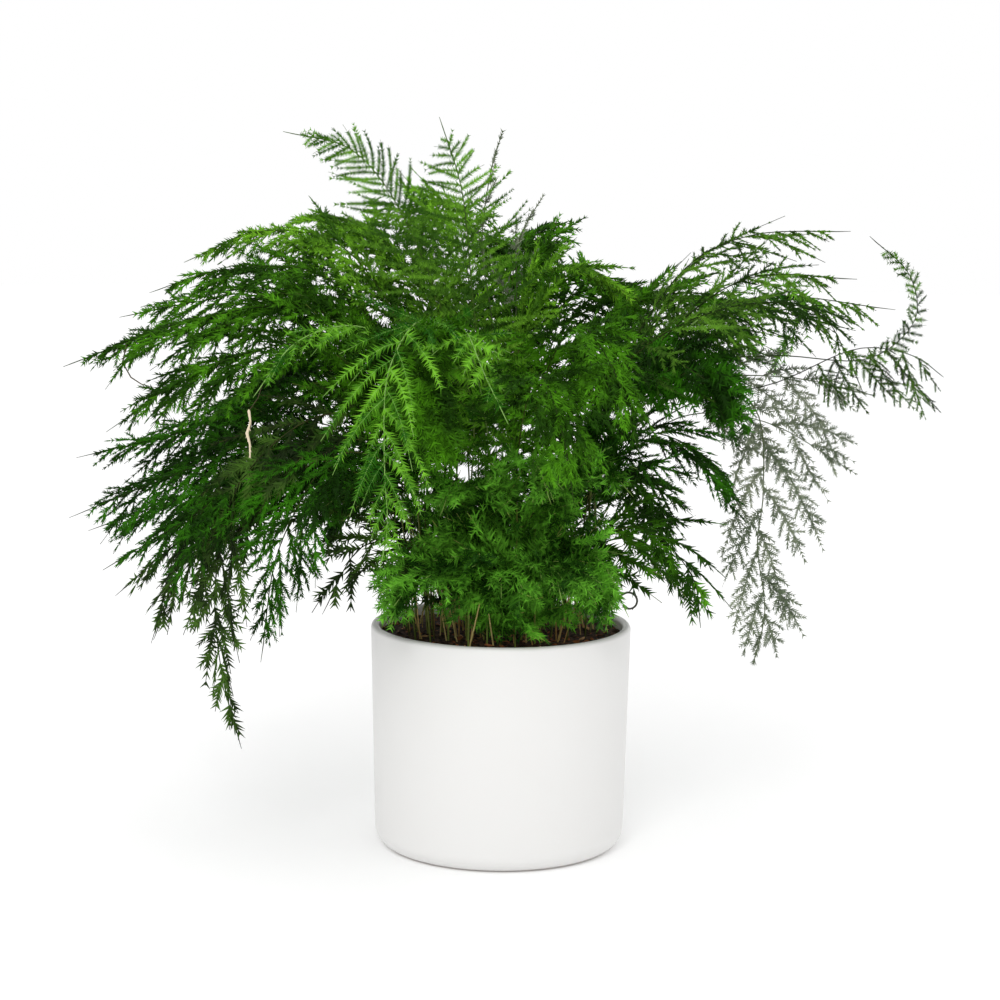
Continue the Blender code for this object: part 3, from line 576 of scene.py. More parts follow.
# How each kind of growth is built, in millimetres and degrees: the distance between side
# branches and the bare tail of each, the share of a branch that its longest twig has and the most
# that is, the twigs' distance, angle to the branch and thickness (none where only needles show),
# then the needles: their length, thickness, distance between pairs, angle to the twig and how
# far round it they spread, how far a branch may turn its layer, and how thick its wood is.
Habit = namedtuple("Habit", "branch_gap tail twig_share twig_most twig_gap twig_angle "
                            "twig_thickness needle_length needle_thickness needle_gap "
                            "needle_angle needle_swing loose wood")
HABITS = {
    "young": Habit(6.4, 3, 0.0, 0, 9.0, 45, 0.0, 6.8, 0.46, 1.10, 62, 75, 25, 0.9),
    "mid": Habit(6.8, 9, 0.38, 14, 4.8, 42, 0.0, 4.8, 0.95, 1.55, 46, 70, 20, 1.0),
    "deep": Habit(7.5, 11, 0.45, 17, 5.2, 40, 0.0, 4.2, 0.95, 1.45, 44, 70, 20, 1.0),
    "cool": Habit(4.6, 3, 0.50, 18, 3.9, 46, 0.0, 7.4, 0.46, 1.60, 58, 60, 60, 1.1),
    "pale": Habit(14.5, 1, 0.26, 8, 3.2, 60, 0.25, 4.2, 0.28, 1.25, 55, 60, 20, 0.6),
    "shaded": Habit(5.6, 9, 0.45, 17, 5.6, 42, 0.0, 5.6, 1.40, 1.90, 44, 80, 30, 1.0),
    "open": Habit(9.5, 16, 0.36, 12, 5.0, 48, 0.0, 3.6, 0.90, 1.35, 46, 70, 25, 1.0),
    "comb": Habit(9.2, 5, 0.16, 8, 7.0, 45, 0.0, 7.6, 0.90, 2.40, 46, 30, 40, 1.3),
    "feather": Habit(2.4, 2, 0.0, 0, 9.0, 45, 0.0, 3.2, 0.34, 0.90, 58, 35, 10, 0.6),
    "hanging": Habit(11.0, 1, 0.40, 9, 3.2, 58, 0.0, 3.0, 0.50, 0.95, 50, 45, 20, 0.7),
}


def sorted_out(kinds):
    """The kind of each frond, from the fronds of each kind."""
    return {name: kind for kind, names in kinds.items() for name in names.split()}


# The fronds that aren't built as their finish is: feathers at the top and in the curl, feathers
# that hang from an arched stem, sprays with gaps between their branches, and old dark combs.
OTHER_HABITS = sorted_out({
    "feather": "top_01 top_02 right_04", "hanging": "right_03",
    "open": "right_01 right_02 right_10 right_11",
    "comb": "left_10 left_11 left_12 left_13 left_15 right_09 low_05",
    "cool": "right_05 front_03", "mid": "back_01 back_02"})

# The fronds that don't have the green of their kind: the upper ones in the middle are lightest, in
# a sunlit green that is painted light.
OTHER_GREENS = sorted_out({
    "sunlit": "top_05 top_06 left_01 back_01 back_02", "comb": "right_03", "open": "right_04",
    "deep": "right_05", "mid": "front_03 low_05 right_09 back_03 back_04 back_05"})

# The fronds whose side branches are cut back on their right, and the share that is left: one would
# hide the tendril's curl.
CUT_BACK = {"low_04": 0.45}

# The wood: the radii of stems and side branches at foot and tip, and a stem's taper. Then the
# size of a stem's own needles, where they start and how fast they thicken in shares of its
# length, and its bare tail.
STEM_RADIUS = 0.75 * MM
STEM_TIP_RADIUS = 0.35 * MM
BRANCH_RADIUS = 0.36 * MM
BRANCH_TIP_RADIUS = 0.20 * MM
STEM_TAPER = 0.8
STEM_NEEDLES = 0.8
STEM_TAIL = 15 * MM
PALE_TAIL = 1 * MM
STEM_LEAFY_FROM = 0.9
STEM_LEAFY_RISE = 20
WOOD_SIDES = 3

# How side branches follow one another up a stem: the share of the longest that the lowest has and
# how soon they reach it, how much one may differ, its least length, and in degrees how far they
# close towards the tip and may stray, along the stem and round it.
FIRST_SHARE = 0.55
SWELL = 3
REACH_SHARES = (0.8, 1.15)
REACH_LEAST = 4 * MM
ANGLE_CLOSING = 30
ANGLE_STRAY = 10
LAYER_STRAY = 20

# How one side branch runs: how much it leans along the stem, how far it bends along it and hangs,
# how much its bare tail may differ and the most of it that is bare, over what length its needles
# end, and the size of its needles from foot to tip. A long one has one more bend.
BRANCH_LEAN = 0.15
BRANCH_BENDS = (0.10, 0.45)
BRANCH_DROOPS = (0.05, 0.45)
LONG_BRANCH = 25 * MM
LONG_STEPS = 4
SHORT_STEPS = 3
TAIL_SHARES = (0.5, 1.3)
TAIL_MOST = 0.4
NEEDLES_END = 2 * MM
BRANCH_NEEDLES = (1.0, 0.55)

# How twigs stand on a branch: the place of the first in shares of their distance, how much that
# may differ, the bare end of the branch, what is added to a twig's length and how much it may
# differ, the least length, its turn round the branch and stray along it in degrees, how far it
# bends and hangs, its thickness and needle sizes from foot to tip, and how much tone is its own.
FIRST_TWIG = (0.5, 1.0)
TWIG_GAPS = (0.75, 1.25)
TWIGS_END = 3 * MM
TWIG_FOOT = 2 * MM
TWIG_SHARES = (0.55, 1.2)
TWIG_LEAST = 3.5 * MM
TWIG_TURN = 25
TWIG_STRAY = 12
TWIG_BENDS = (0.1, 0.45)
TWIG_DROOPS = (0, 0.35)
TWIG_TAPER = (0.2, 0.5, 0.08)
TWIG_NEEDLES = (1.0, 0.8, 0.4)
TWIG_TONE = 0.25


def unit(vector):
    """The vector at length one."""
    return vector / np.linalg.norm(vector)


def lengths(path):
    """Distance along a path at each of its points."""
    return np.r_[0, np.cumsum(np.linalg.norm(np.diff(path, axis=0), axis=1))]


def turned_about(vector, axis, degrees):
    """The vector turned about an axis through the origin."""
    angle = math.radians(degrees)
    return (vector * math.cos(angle) + np.cross(axis, vector) * math.sin(angle)
            + axis * (axis @ vector) * (1 - math.cos(angle)))


def smooth_path(points):
    """A fine smooth curve through the given points."""
    points = np.array(points, float)
    points = np.vstack([2 * points[0] - points[1], points, 2 * points[-1] - points[-2]])
    curve = []
    for a, b, c, d in zip(points, points[1:], points[2:], points[3:]):
        k0, k1, k2 = (math.sqrt(np.linalg.norm(v)) for v in (b - a, c - b, d - c))
        slope_b = (c - b) + k1 * ((b - a) / k0 - (c - a) / (k0 + k1))
        slope_c = (c - b) + k1 * ((d - c) / k2 - (d - b) / (k1 + k2))
        for t in np.linspace(0, 1, CURVE_STEPS, endpoint=False):
            curve.append((2 * t**3 - 3 * t**2 + 1) * b + (t**3 - 2 * t**2 + t) * slope_b
                         + (3 * t**2 - 2 * t**3) * c + (t**3 - t**2) * slope_c)
    return np.array(curve + [points[-2]])


def root_spots():
    """Where the stems leave the soil: under their fronds, spread until they stand apart."""
    spots = []
    for frond in FRONDS:
        toward = np.array(frond.through[1][:2]) * MM
        reach = np.linalg.norm(toward)
        spots.append(toward / reach * min(ROOT_SHARE * reach, ROOT_SPREAD))
    spots = np.array(spots)
    for _ in range(ROOT_ROUNDS):
        apart = spots[:, None] - spots[None]
        distance = np.linalg.norm(apart, axis=2) + np.eye(len(spots))
        push = np.clip(ROOT_SPACING - distance, 0, None)
        spots += (apart / distance[..., None] * push[..., None] * ROOT_PUSH).sum(1)
        spots *= np.minimum(1, ROOT_SPREAD / np.linalg.norm(spots, axis=1))[:, None]
    return spots


def stem_line(frond, root):
    """A stem from the soil: steep at first, then over through its points, bowed if it must be."""
    base = np.array([*root, SOIL_TOP])
    through = np.array(frond.through, float) * MM
    lift = base + (through[0] - base) * STEM_LIFT
    path = smooth_path([base, lift, *through])
    along = lengths(path) / lengths(path)[-1]
    bow = STEM_BOWS.get(frond.name, 0) * MM * np.sin(math.pi * along) ** 2
    return path + level_side(path) * bow[:, None]


def level_side(path):
    """The level direction to one side of a stem."""
    return unit(np.cross((path[-1] - path[0]) * (1, 1, 0), UP))


def spread(side, ahead, roll):
    """The direction across a stem in which its layer spreads there, roll in degrees."""
    flat = unit(side - ahead * (side @ ahead))
    angle = math.radians(roll)
    return flat * math.cos(angle) + np.cross(flat, ahead) * math.sin(angle)


class Strands:
    """The lines of a frond, with the wood's thickness, needles, layer and age at each point."""

    def __init__(self):
        self.points, self.edges = [], []
        self.values = {"thickness": [], "leafy": [], "size": [], "fresh": [], "woody": [],
                       "shade": []}
        self.layers = []

    def add(self, path, radii, leafy=0, size=1, fresh=0, layer=BACK, woody=1, shade=0.5):
        """Lay one line. Without a thickness it gets needles only."""
        first = len(self.points)
        count = len(path)
        self.points.extend(path)
        self.edges.extend((first + i, first + i + 1) for i in range(count - 1))
        for name, value in (("thickness", radii), ("leafy", leafy), ("size", size),
                            ("fresh", fresh), ("woody", woody), ("shade", shade)):
            self.values[name].extend(np.broadcast_to(value, count))
        self.layers.extend([layer] * count)

    def piece(self, name):
        """The lines as an object of loose edges."""
        mesh = bpy.data.meshes.new(name)
        mesh.from_pydata(np.array(self.points), self.edges, [])
        for label, values in self.values.items():
            mesh.attributes.new(label, "FLOAT", "POINT").data.foreach_set("value", values)
        mesh.attributes.new("layer", "FLOAT_VECTOR", "POINT").data.foreach_set(
            "vector", np.array(self.layers).ravel())
        return placed(name, mesh)


def place_at(path, along, distance):
    """The point at a distance along a path, and the heading there."""
    point = np.array([np.interp(distance, along, path[:, axis]) for axis in range(3)])
    index = min(max(np.searchsorted(along, distance), 1), len(path) - 1)
    return point, unit(path[index] - path[index - 1])


def swept(start, heading, pull, length, steps):
    """A line that sets out on its heading and bends towards a pull."""
    t = np.linspace(0, 1, steps + 1)[:, None]
    return start + length * (heading * t + pull * t**2)


def lay_branch(strands, draw, habit, start, ahead, out, length, angle, sag, fresh):
    """One side branch, with twigs on both of its sides, in the frond's flat layer."""
    turn = math.radians(angle)
    tone = draw.random()
    heading = unit(ahead * (math.cos(turn) + BRANCH_LEAN) + out * math.sin(turn) - UP * sag)
    pull = ahead * draw.uniform(*BRANCH_BENDS) - UP * draw.uniform(*BRANCH_DROOPS)
    steps = LONG_STEPS if length > LONG_BRANCH else SHORT_STEPS
    path = swept(start, heading, pull, length, steps)
    along = lengths(path)
    tail = min(habit.tail * MM * draw.uniform(*TAIL_SHARES), TAIL_MOST * length)
    leafy = np.clip((along[-1] - tail - along) / NEEDLES_END + 1, 0, 1)
    layer = turned_about(unit(np.cross(out, ahead)), heading,
                         draw.uniform(-habit.loose, habit.loose))
    strands.add(path, habit.wood * np.linspace(BRANCH_RADIUS, BRANCH_TIP_RADIUS, steps + 1),
                leafy, np.linspace(*BRANCH_NEEDLES, steps + 1), fresh, layer, shade=tone)
    distance = draw.uniform(*FIRST_TWIG) * habit.twig_gap * MM
    hand = draw.choice((-1, 1))
    while distance < along[-1] - tail - TWIGS_END:
        point, way = place_at(path, along, distance)
        left = along[-1] - tail - distance
        twig = min(habit.twig_share * left + TWIG_FOOT, habit.twig_most * MM)
        twig *= draw.uniform(*TWIG_SHARES)
        if twig > TWIG_LEAST:
            aside = turned_about(unit(np.cross(layer, way)) * hand, way,
                                 draw.uniform(-TWIG_TURN, TWIG_TURN))
            slant = math.radians(habit.twig_angle + draw.uniform(-TWIG_STRAY, TWIG_STRAY))
            sprout = unit(way * math.cos(slant) + aside * math.sin(slant))
            droop = way * draw.uniform(*TWIG_BENDS) - UP * draw.uniform(*TWIG_DROOPS)
            strands.add(swept(point, sprout, droop, twig, len(TWIG_TAPER) - 1),
                        np.array(TWIG_TAPER) * habit.twig_thickness * MM, 1, TWIG_NEEDLES, fresh,
                        layer, 0, (1 - TWIG_TONE) * tone + TWIG_TONE * draw.random())
        distance += habit.twig_gap * MM * draw.uniform(*TWIG_GAPS)
        hand = -hand


def kind_of(frond):
    """Which kind of growth a frond is."""
    # Fronds at the back are of the shaded kind, and their green is painted shade.
    usual = "shaded" if frond.name.startswith("back") else frond.finish
    return OTHER_HABITS.get(frond.name, usual)


def green_of(frond):
    """The foliage material of a frond."""
    return FOLIAGE[OTHER_GREENS.get(frond.name, kind_of(frond))]


def lay_frond(frond, root):
    """All the lines of one frond."""
    habit = HABITS[kind_of(frond)]
    path = stem_line(frond, root)
    along = lengths(path)
    length = along[-1]
    side = level_side(path)
    angle, late, sag = GROWTH.get(frond.name, USUAL_GROWTH)
    strands = Strands()
    foot = path[0] - unit(path[1] - path[0]) * STEM_DEPTH
    radii = STEM_RADIUS + (STEM_TIP_RADIUS - STEM_RADIUS) * (along / length) ** STEM_TAPER
    radii[-1] = STEM_TIP_RADIUS / 2
    tail = PALE_TAIL if frond.finish == "pale" else STEM_TAIL
    leafy = np.clip((along / length - STEM_LEAFY_FROM) * STEM_LEAFY_RISE, 0, 1)
    leafy *= along < length - tail
    strands.add(np.vstack([foot, path]), np.r_[STEM_RADIUS, radii], np.r_[0, leafy],
                STEM_NEEDLES, np.r_[0, along / length], UP)
    leafy_length = (1 - frond.leafy_from) * length - STEM_TAIL
    count = round(leafy_length / (habit.branch_gap * MM))
    for index in range(count):
        draw = random.Random(f"{frond.name} branch {index}")
        part = (index + 0.5) / count
        point, ahead = place_at(path, along, frond.leafy_from * length + leafy_length * part)
        swell = min(1, FIRST_SHARE + part * SWELL) * (1 - part**late)
        reach = frond.reach * MM * swell * draw.uniform(*REACH_SHARES) + REACH_LEAST
        slant = angle - ANGLE_CLOSING * part + draw.uniform(-ANGLE_STRAY, ANGLE_STRAY)
        out = spread(side * (1 if index % 2 else -1), ahead, frond.roll)
        if out[0] > 0:
            reach *= CUT_BACK.get(frond.name, 1)
        out = turned_about(out, ahead, draw.uniform(-LAYER_STRAY, LAYER_STRAY))
        lay_branch(strands, draw, habit, point, ahead, out, reach, slant, sag,
                   frond.leafy_from + (1 - frond.leafy_from) * part)
    return strands


# A pair of needles: its sides, its width in shares of the distance between pairs, its radius in
# shares of the needles' thickness, how much width and length may differ, and how much of its
# tone comes from its branch. The seam joins its two halves, each of which is one long.
NEEDLE_SIDES = 3
NEEDLE_WIDTH = 0.75
NEEDLE_RADIUS = 0.58
NEEDLE_SEAM = 0.001
NEEDLE_WIDTHS = (0.75, 1.2)
NEEDLE_LENGTHS = (0.7, 1.2)
NEEDLE_TONE = 0.6


def frond_tree():
    """Wood along the lines that have a thickness, and pairs of needles along the leafy ones."""
    nodes, given = new_tree("frond", {
        "Lines": "Geometry", "Wood Sides": "Int", "Needle Length": "Float",
        "Needle Thickness": "Float", "Needle Gap": "Float", "Needle Angle": "Float",
        "Needle Swing": "Float", "Seed": "Int", "Material": "Material"})
    seed = given["Seed"]

    def value(name):
        return nodes.add("GeometryNodeInputNamedAttribute", {}, {"Name": name})

    def vector_maths(operation, *values):
        return nodes.add("ShaderNodeVectorMath", {"operation": operation},
                         dict(enumerate(values)))

    def scaled(direction, amount):
        return nodes.add("ShaderNodeVectorMath", {"operation": "SCALE"},
                         {0: direction, "Scale": amount})

    def joined(*parts):
        return nodes.add("GeometryNodeJoinGeometry", {}, {0: [*parts]})

    wooden = nodes.add("GeometryNodeSeparateGeometry", {}, {
        "Geometry": given["Lines"], "Selection": value("thickness") > 0.0})
    wood = nodes.add("GeometryNodeCurveToMesh", {}, {
        "Curve": nodes.add("GeometryNodeMeshToCurve", {}, {"Mesh": wooden}),
        "Scale": value("thickness"), "Fill Caps": True,
        "Profile Curve": nodes.add("GeometryNodeCurvePrimitiveCircle", {}, {
            "Resolution": given["Wood Sides"], "Radius": 1.0})})

    # A pair of needles is one closed spindle, bent forward in the middle, each needle one long.
    half = nodes.add("GeometryNodeMeshCone", {"fill_type": "NONE"}, {
        "Vertices": NEEDLE_SIDES, "Radius Top": 0.0, "Radius Bottom": 1.0, "Depth": 1.0})
    other = nodes.add("GeometryNodeTransform", {}, {
        "Geometry": half, "Rotation": (math.pi, 0.0, 0.0)})
    spindle = nodes.add("GeometryNodeMergeByDistance", {}, {
        "Geometry": joined(half, other), "Distance": NEEDLE_SEAM})
    x, y, z = nodes.parts(nodes.add("GeometryNodeInputPosition"))
    length, lean = given["Needle Length"], given["Needle Angle"]
    pair = nodes.add("GeometryNodeSetPosition", {}, {
        "Geometry": spindle, "Position": nodes.vector(
            x * given["Needle Gap"] * NEEDLE_WIDTH / length
            + nodes.maths("ABSOLUTE", z) * nodes.maths("COSINE", lean),
            y * given["Needle Thickness"] * NEEDLE_RADIUS / length,
            z * nodes.maths("SINE", lean))})
    pair = nodes.add("GeometryNodeSetShadeSmooth", {}, {"Geometry": pair, "Shade Smooth": False})

    lines = nodes.add("GeometryNodeMeshToCurve", {}, {"Mesh": given["Lines"]})
    points = nodes.add("GeometryNodeCurveToPoints", {"mode": "LENGTH"}, {
        "Curve": lines, "Length": given["Needle Gap"]})
    way = points.beside("Tangent")
    kept = nodes.add("GeometryNodeDeleteGeometry", {}, {
        "Geometry": points, "Selection": drawn(nodes, 0.0, 1.0, seed + 1) > value("leafy")})
    layer = nodes.add("GeometryNodeInputNamedAttribute", {"data_type": "FLOAT_VECTOR"},
                      {"Name": "layer"})
    aside = vector_maths("CROSS_PRODUCT", layer, way)
    swing = drawn(nodes, -1.0, 1.0, seed + 2) * given["Needle Swing"]
    out = vector_maths("ADD", scaled(aside, nodes.maths("COSINE", swing)),
                       scaled(layer, nodes.maths("SINE", swing)))
    size = value("size") * length
    needles = nodes.add("GeometryNodeInstanceOnPoints", {}, {
        "Points": kept, "Instance": pair,
        "Rotation": nodes.add("FunctionNodeAxesToRotation",
                              {"primary_axis": "X", "secondary_axis": "Z"},
                              {"Primary Axis": way, "Secondary Axis": out}),
        "Scale": nodes.vector(length * drawn(nodes, *NEEDLE_WIDTHS, seed + 4), length,
                              size * drawn(nodes, *NEEDLE_LENGTHS, seed + 5))})
    tone = value("shade") * NEEDLE_TONE + drawn(nodes, 0.0, 1 - NEEDLE_TONE, seed + 6)
    needles = stored(nodes, needles, "shade", tone, "INSTANCE")
    needles = stored(nodes, needles, "woody", 0.0, "INSTANCE")
    ended(nodes, joined(wood, needles), given["Material"])
    return nodes


GREEN_PATCHES = 28 * MM
GREEN_VEINS = 0.8 * MM
GREEN_DEPTH = 0.05 * MM


def foliage(name, dark, light, stem_low, stem_high):
    """Needles between a dark and a light green, on wood of one colour near the soil, one above."""
    material, nodes = blank_material(name)
    shade, woody, fresh = (painted(nodes, label) for label in ("shade", "woody", "fresh"))
    patches = nodes.smooth_step(nodes.clouds(GREEN_PATCHES), 0.3, 0.7)
    veins = nodes.clouds(GREEN_VEINS, 1.0)
    needle = nodes.mixed(nodes.smooth_step(shade * 0.6 + patches * 0.4, 0.25, 0.9), dark, light)
    bark = nodes.mixed(nodes.smooth_step(fresh, 0.2, 0.7), stem_low, stem_high)
    bark = nodes.mixed(veins * 0.5, bark, dark)
    nodes.surface({"Base Color": nodes.mixed(woody, needle, bark),
                   "Roughness": veins * 0.15 + 0.50, "Specular IOR Level": 0.05},
                  veins, GREEN_DEPTH)
    return material


FOLIAGE = {
    "feather": foliage("olive_green", (0.026, 0.085, 0.006, 1), (0.150, 0.370, 0.024, 1),
                       (0.240, 0.300, 0.080, 1), (0.060, 0.110, 0.020, 1)),
    "young": foliage("young_green", (0.014, 0.090, 0.004, 1), (0.190, 0.500, 0.028, 1),
                     (0.300, 0.380, 0.090, 1), (0.290, 0.500, 0.130, 1)),
    "mid": foliage("mid_green", (0.012, 0.046, 0.002, 1), (0.090, 0.305, 0.009, 1),
                   (0.240, 0.280, 0.060, 1), (0.022, 0.040, 0.008, 1)),
    "deep": foliage("deep_green", (0.007, 0.028, 0.002, 1), (0.040, 0.190, 0.005, 1),
                    (0.200, 0.240, 0.055, 1), (0.018, 0.028, 0.006, 1)),
    "cool": foliage("cool_green", (0.010, 0.050, 0.003, 1), (0.190, 0.580, 0.042, 1),
                    (0.460, 0.470, 0.120, 1), (0.300, 0.460, 0.110, 1)),
    # painted light: a lighter copy of the mid green for the upper fronds in the middle
    "sunlit": foliage("sunlit_green", (0.028, 0.095, 0.005, 1), (0.210, 0.510, 0.026, 1),
                      (0.260, 0.300, 0.070, 1), (0.040, 0.070, 0.010, 1)),
    "open": foliage("ripe_green", (0.012, 0.038, 0.004, 1), (0.105, 0.255, 0.020, 1),
                    (0.110, 0.120, 0.030, 1), (0.016, 0.026, 0.006, 1)),
    "comb": foliage("dusky_green", (0.010, 0.020, 0.005, 1), (0.064, 0.145, 0.018, 1),
                    (0.120, 0.120, 0.035, 1), (0.012, 0.016, 0.006, 1)),
    # painted shade: a darker copy of the mid green for the fronds at the back, which stand in the
    # others' shade
    "shaded": foliage("shaded_green", (0.008, 0.028, 0.002, 1), (0.045, 0.165, 0.008, 1),
                      (0.180, 0.200, 0.050, 1), (0.030, 0.050, 0.010, 1)),
    "pale": foliage("pale_green", (0.100, 0.130, 0.080, 1), (0.270, 0.310, 0.210, 1),
                    (0.160, 0.170, 0.060, 1), (0.090, 0.120, 0.050, 1)),
}

SEEDS_APART = 10

frond_nodes = frond_tree()
for number, (frond, root) in enumerate(zip(FRONDS, root_spots())):
    habit = HABITS[kind_of(frond)]
    spray = lay_frond(frond, root).piece(f"{frond.name}_spray")
    grow(spray, frond_nodes, {
        "Wood Sides": WOOD_SIDES, "Needle Length": habit.needle_length * MM,
        "Needle Thickness": habit.needle_thickness * MM, "Needle Gap": habit.needle_gap * MM,
        "Needle Angle": math.radians(habit.needle_angle),
        "Needle Swing": math.radians(habit.needle_swing), "Material": green_of(frond),
        "Seed": SEEDS_APART * number})
    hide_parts(f"frond_{frond.name}")
    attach(spray, "root")


# Stubs: dried remains of old stems that broke off above the soil, straw coloured to rusty. They
# are thin and stiff, and stand in the soil among the living stems.
STUB_COUNT = 90
STUB_RADIUS = 0.50 * MM
STUB_SHARES = (0.6, 1.1)
STUB_TAPER = np.array((1.1, 1, 0.95, 0.8))
STUB_SIDES = 6
STUB_HEIGHTS = (8 * MM, 48 * MM)
STUB_SPREAD = 64 * MM
STUB_DEPTH = 8 * MM
STUB_LEAN = 0.35
STUB_BEND = 0.05
DRY_STREAKS = 1.5 * MM
DRY_DEPTH = 0.15 * MM

# The dried needles left on a twig: lengths in metres, angles in radians.
DRY_NEEDLES = {"Needle Length": 3 * MM, "Needle Thickness": 0.9 * MM, "Needle Gap": 2.2 * MM,
               "Needle Angle": 0.5, "Needle Swing": 1.2, "Seed": 900}


def dry_wood(name, dark, light):
    """Dried wood between two colours, with darker streaks and bumps."""
    material, nodes = blank_material(name)
    shade = painted(nodes, "shade")
    streaks = nodes.clouds(DRY_STREAKS, 3.0)
    nodes.surface({"Base Color": nodes.mixed(streaks * 0.5 + shade * 0.5, dark, light),
                   "Roughness": streaks * 0.2 + 0.65, "Specular IOR Level": 0.3},
                  streaks, DRY_DEPTH)
    return material


def keep_twigs(lines, name, sides, material, *nodes):
    """Grow dried twigs along their lines and attach them to the plant."""
    twigs = lines.piece(name)
    grow(twigs, frond_nodes, {**DRY_NEEDLES, "Wood Sides": sides, "Material": material})
    if nodes:
        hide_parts(*nodes)
    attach(twigs, "root")


stubs = Strands()
draw = random.Random("stubs")
for number in range(STUB_COUNT):
    turn, out = draw.uniform(0, math.tau), STUB_SPREAD * math.sqrt(draw.random())
    foot = np.array((out * math.cos(turn), out * math.sin(turn), SOIL_TOP))
    lean = unit(np.array((draw.uniform(-1, 1) * STUB_LEAN, draw.uniform(-1, 1) * STUB_LEAN, 1)))
    height = draw.uniform(*STUB_HEIGHTS)
    bend = np.array((draw.uniform(-1, 1), draw.uniform(-1, 1), 0)) * STUB_BEND
    stubs.add(swept(foot - lean * STUB_DEPTH, lean, bend, height + STUB_DEPTH,
                    len(STUB_TAPER) - 1),
              STUB_RADIUS * draw.uniform(*STUB_SHARES) * STUB_TAPER, shade=draw.random())
keep_twigs(stubs, "stubs_dried", STUB_SIDES,
           dry_wood("straw", (0.300, 0.110, 0.020, 1), (0.620, 0.560, 0.220, 1)))


# Cream twig: one dead side branch that hangs by its thin brown stalk from a frond on the left,
# bleached and curled, with the remains of its needles pressed to it.
CREAM_FROND = "front_04"
CREAM_PLACE = 0.97
CREAM_LENGTH = 27 * MM
CREAM_RADII = np.array((0.3, 0.9, 0.6, 1.0, 0.7, 0.4)) * MM
CREAM_LEAFY = (0, 1, 1, 1, 1, 1)
CREAM_NEEDLES = 0.8
CREAM_SHADE = 0.7
CREAM_CURL = 9
CREAM_WAVE = np.array((1.2, 0.5, 0)) * MM
CREAM_SIDES = 6
STALK_LENGTH = 16 * MM
STALK_DRIFT = np.array((-8, -3, 0)) * MM
STALK_BOW = np.array((1.5, 0, 0)) * MM
STALK_RADIUS = 0.22 * MM
STALK_SIDES = 5
BROWN_TWIG = dry_wood("brown_twig", (0.030, 0.020, 0.010, 1), (0.110, 0.085, 0.040, 1))

frond, root = next(pair for pair in zip(FRONDS, root_spots()) if pair[0].name == CREAM_FROND)
path = stem_line(frond, root)
along = lengths(path)
start, ahead = place_at(path, along, CREAM_PLACE * along[-1])
drop = np.linspace(0, 1, len(CREAM_RADII) - 1)[:, None]
stalk_end = start - UP * STALK_LENGTH + STALK_DRIFT
cream = Strands()
cream.add(np.vstack([stalk_end + UP * MM, stalk_end - UP * CREAM_LENGTH * drop
                     + np.sin(drop * CREAM_CURL) * CREAM_WAVE]),
          CREAM_RADII, CREAM_LEAFY, CREAM_NEEDLES, shade=CREAM_SHADE)
keep_twigs(cream, "twig_cream", CREAM_SIDES,
           dry_wood("cream", (0.45, 0.33, 0.18, 1), (0.86, 0.76, 0.58, 1)))
stalk = Strands()
stalk.add(np.vstack([start, (start + stalk_end) / 2 + STALK_BOW, stalk_end]), STALK_RADIUS)
keep_twigs(stalk, "twig_stalk", STALK_SIDES, BROWN_TWIG)


# Bent twig: one dead side branch of a frond on the left, of thin brown wood without needles. It
# grows from the frond's stem, and is bent down and back towards the plant.
BENT_THROUGH = [(-240, -20, 330), (-242, -28, 318), (-236, -33, 309), (-229, -36, 305),
                (-220, -38, 303)]
BENT_RADII = np.array((0.45, 0.45, 0.42, 0.36, 0.15)) * MM
BENT_SIDES = 6

bent = Strands()
bent.add(np.array(BENT_THROUGH) * MM, BENT_RADII)
keep_twigs(bent, "twig_bent", BENT_SIDES, BROWN_TWIG)


# Tendril: one dried shoot that leans over the rim on the right and ends in a curl. It is thin,
# grey and brittle, it tapers to its end, and dried needles are pressed to the curl.
TENDRIL_RISE = [(62, 4, 140), (66, 5, 152), (76, 6, 162)]
TENDRIL_CURL_CENTRE = (84, 7, 160)
TENDRIL_CURL_RADIUS = 7
TENDRIL_CURL_STEPS = 8
TENDRIL_CURL_TURN = math.radians(43)
TENDRIL_CURL_SHRINK = 0.05
TENDRIL_CURL_DRIFT = 0.06
TENDRIL_RADIUS = 0.85 * MM
TENDRIL_TIP_SHARE = 0.7
TENDRIL_LEAFY = (-0.6, 1)
TENDRIL_SIDES = 8

curl = []
for step in range(1, TENDRIL_CURL_STEPS):
    turn = step * TENDRIL_CURL_TURN
    offset = np.array((-math.cos(turn), TENDRIL_CURL_DRIFT * step, math.sin(turn)))
    radius = TENDRIL_CURL_RADIUS * (1 - TENDRIL_CURL_SHRINK * step)
    curl.append(np.array(TENDRIL_CURL_CENTRE) + radius * offset)
tendril_path = smooth_path(np.array([*TENDRIL_RISE, *curl]) * MM)
tendril_foot = tendril_path[0] - unit(tendril_path[1] - tendril_path[0]) * STEM_DEPTH
tendril_path = np.vstack([tendril_foot, tendril_path])
tendril = Strands()
tendril.add(tendril_path,
            np.linspace(TENDRIL_RADIUS, TENDRIL_RADIUS * TENDRIL_TIP_SHARE, len(tendril_path)),
            np.linspace(*TENDRIL_LEAFY, len(tendril_path)).clip(0))
keep_twigs(tendril, "tendril_dried", TENDRIL_SIDES,
           dry_wood("dry_wood", (0.020, 0.022, 0.016, 1), (0.120, 0.125, 0.090, 1)), "tendril")


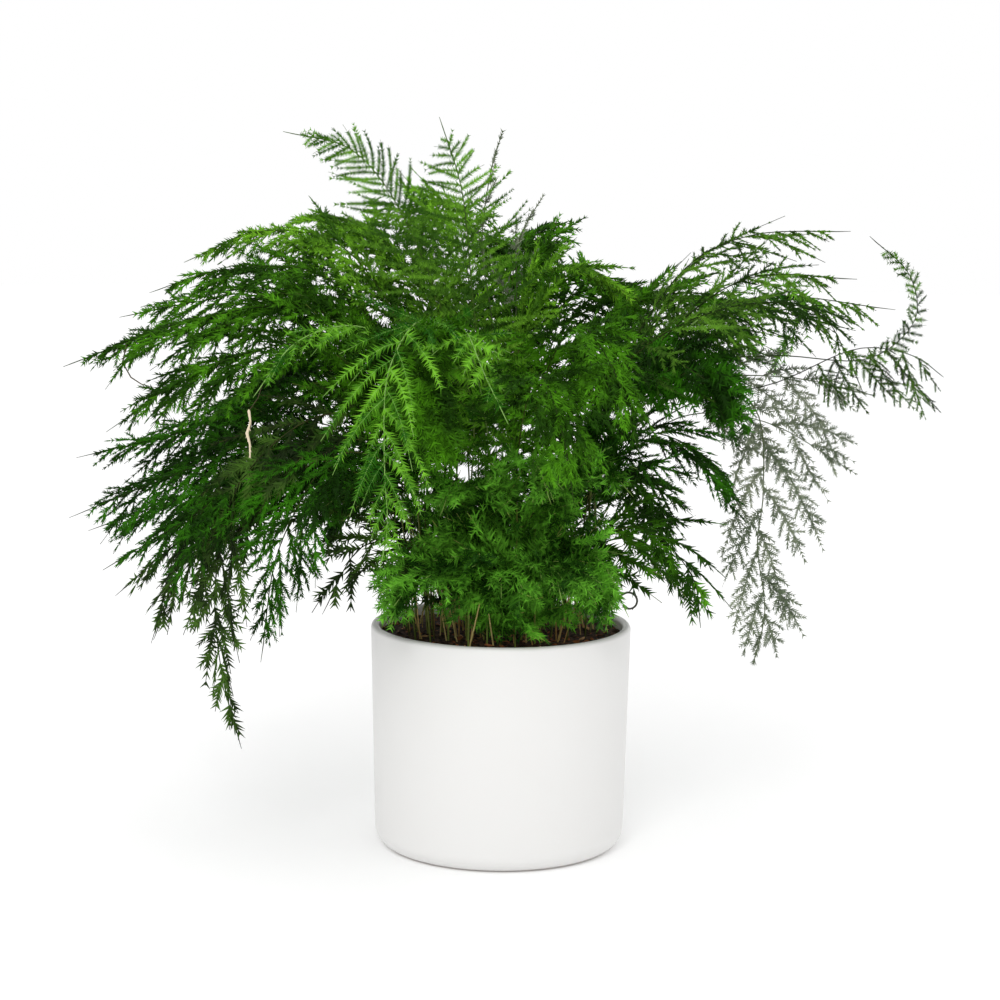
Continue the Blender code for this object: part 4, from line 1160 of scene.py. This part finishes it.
# Studio: a plain white floor under soft light from all round, with a large soft lamp high in
# front, and the camera a little above the rim, as in the photograph.
FLOOR_RADIUS = 6.0
FLOOR_SIDES = 96
FLOOR_CLOUDS = 0.4
FLOOR_GLOW = 0.1
SKY_STRENGTH = 1.0
LAMP_PLACE = (-0.4, -1.9, 1.6)
LAMP_AIM = (0.0, 0.0, 0.25)
LAMP_SIZE = 0.9
LAMP_WATTS = 15
CAMERA_PLACE = (-0.0014, -1.6212, 0.4652)
CAMERA_PITCH = math.radians(8.324)
CAMERA_ROLL = math.radians(0.585)
CAMERA_LENS = 90.6


def studio_white():
    """Matt white floor paint with hardly visible cloudiness."""
    material, nodes = blank_material("studio_white")
    cloud = nodes.clouds(FLOOR_CLOUDS)
    nodes.surface({"Base Color": nodes.mixed(cloud, (0.93, 0.93, 0.93, 1),
                                             (0.95, 0.95, 0.95, 1)),
                   "Roughness": 0.9, "Specular IOR Level": 0.1,
                   "Emission Color": (1.0, 1.0, 1.0, 1), "Emission Strength": FLOOR_GLOW})
    return material


floor_shape = bmesh.new()
bmesh.ops.create_circle(floor_shape, cap_ends=True, segments=FLOOR_SIDES, radius=FLOOR_RADIUS)
floor = shaped("floor", floor_shape, studio_white())

world = bpy.data.worlds.new("studio")
world.use_nodes = True
sky = world.node_tree.nodes["Background"].inputs
sky["Color"].default_value = (1.0, 1.0, 1.0, 1)
sky["Strength"].default_value = SKY_STRENGTH
bpy.context.scene.world = world

lamp = placed("key", bpy.data.lights.new("key", "AREA"))
lamp.data.size = LAMP_SIZE
lamp.data.energy = LAMP_WATTS
lamp.location = LAMP_PLACE
lamp.rotation_euler = (Vector(LAMP_AIM) - lamp.location).to_track_quat("-Z", "Y").to_euler()

camera = placed("camera", bpy.data.cameras.new("camera"))
camera.data.lens = CAMERA_LENS
ahead = Vector((0, math.cos(CAMERA_PITCH), -math.sin(CAMERA_PITCH)))
above = Vector((0, math.sin(CAMERA_PITCH), math.cos(CAMERA_PITCH)))
right = Vector((1, 0, 0))
across = right * math.cos(CAMERA_ROLL) + above * math.sin(CAMERA_ROLL)
upward = above * math.cos(CAMERA_ROLL) - right * math.sin(CAMERA_ROLL)
camera.matrix_world = Matrix((across, upward, -ahead)).transposed().to_4x4()
camera.location = CAMERA_PLACE
bpy.context.scene.camera = camera
bpy.context.scene.view_settings.view_transform = "Standard"
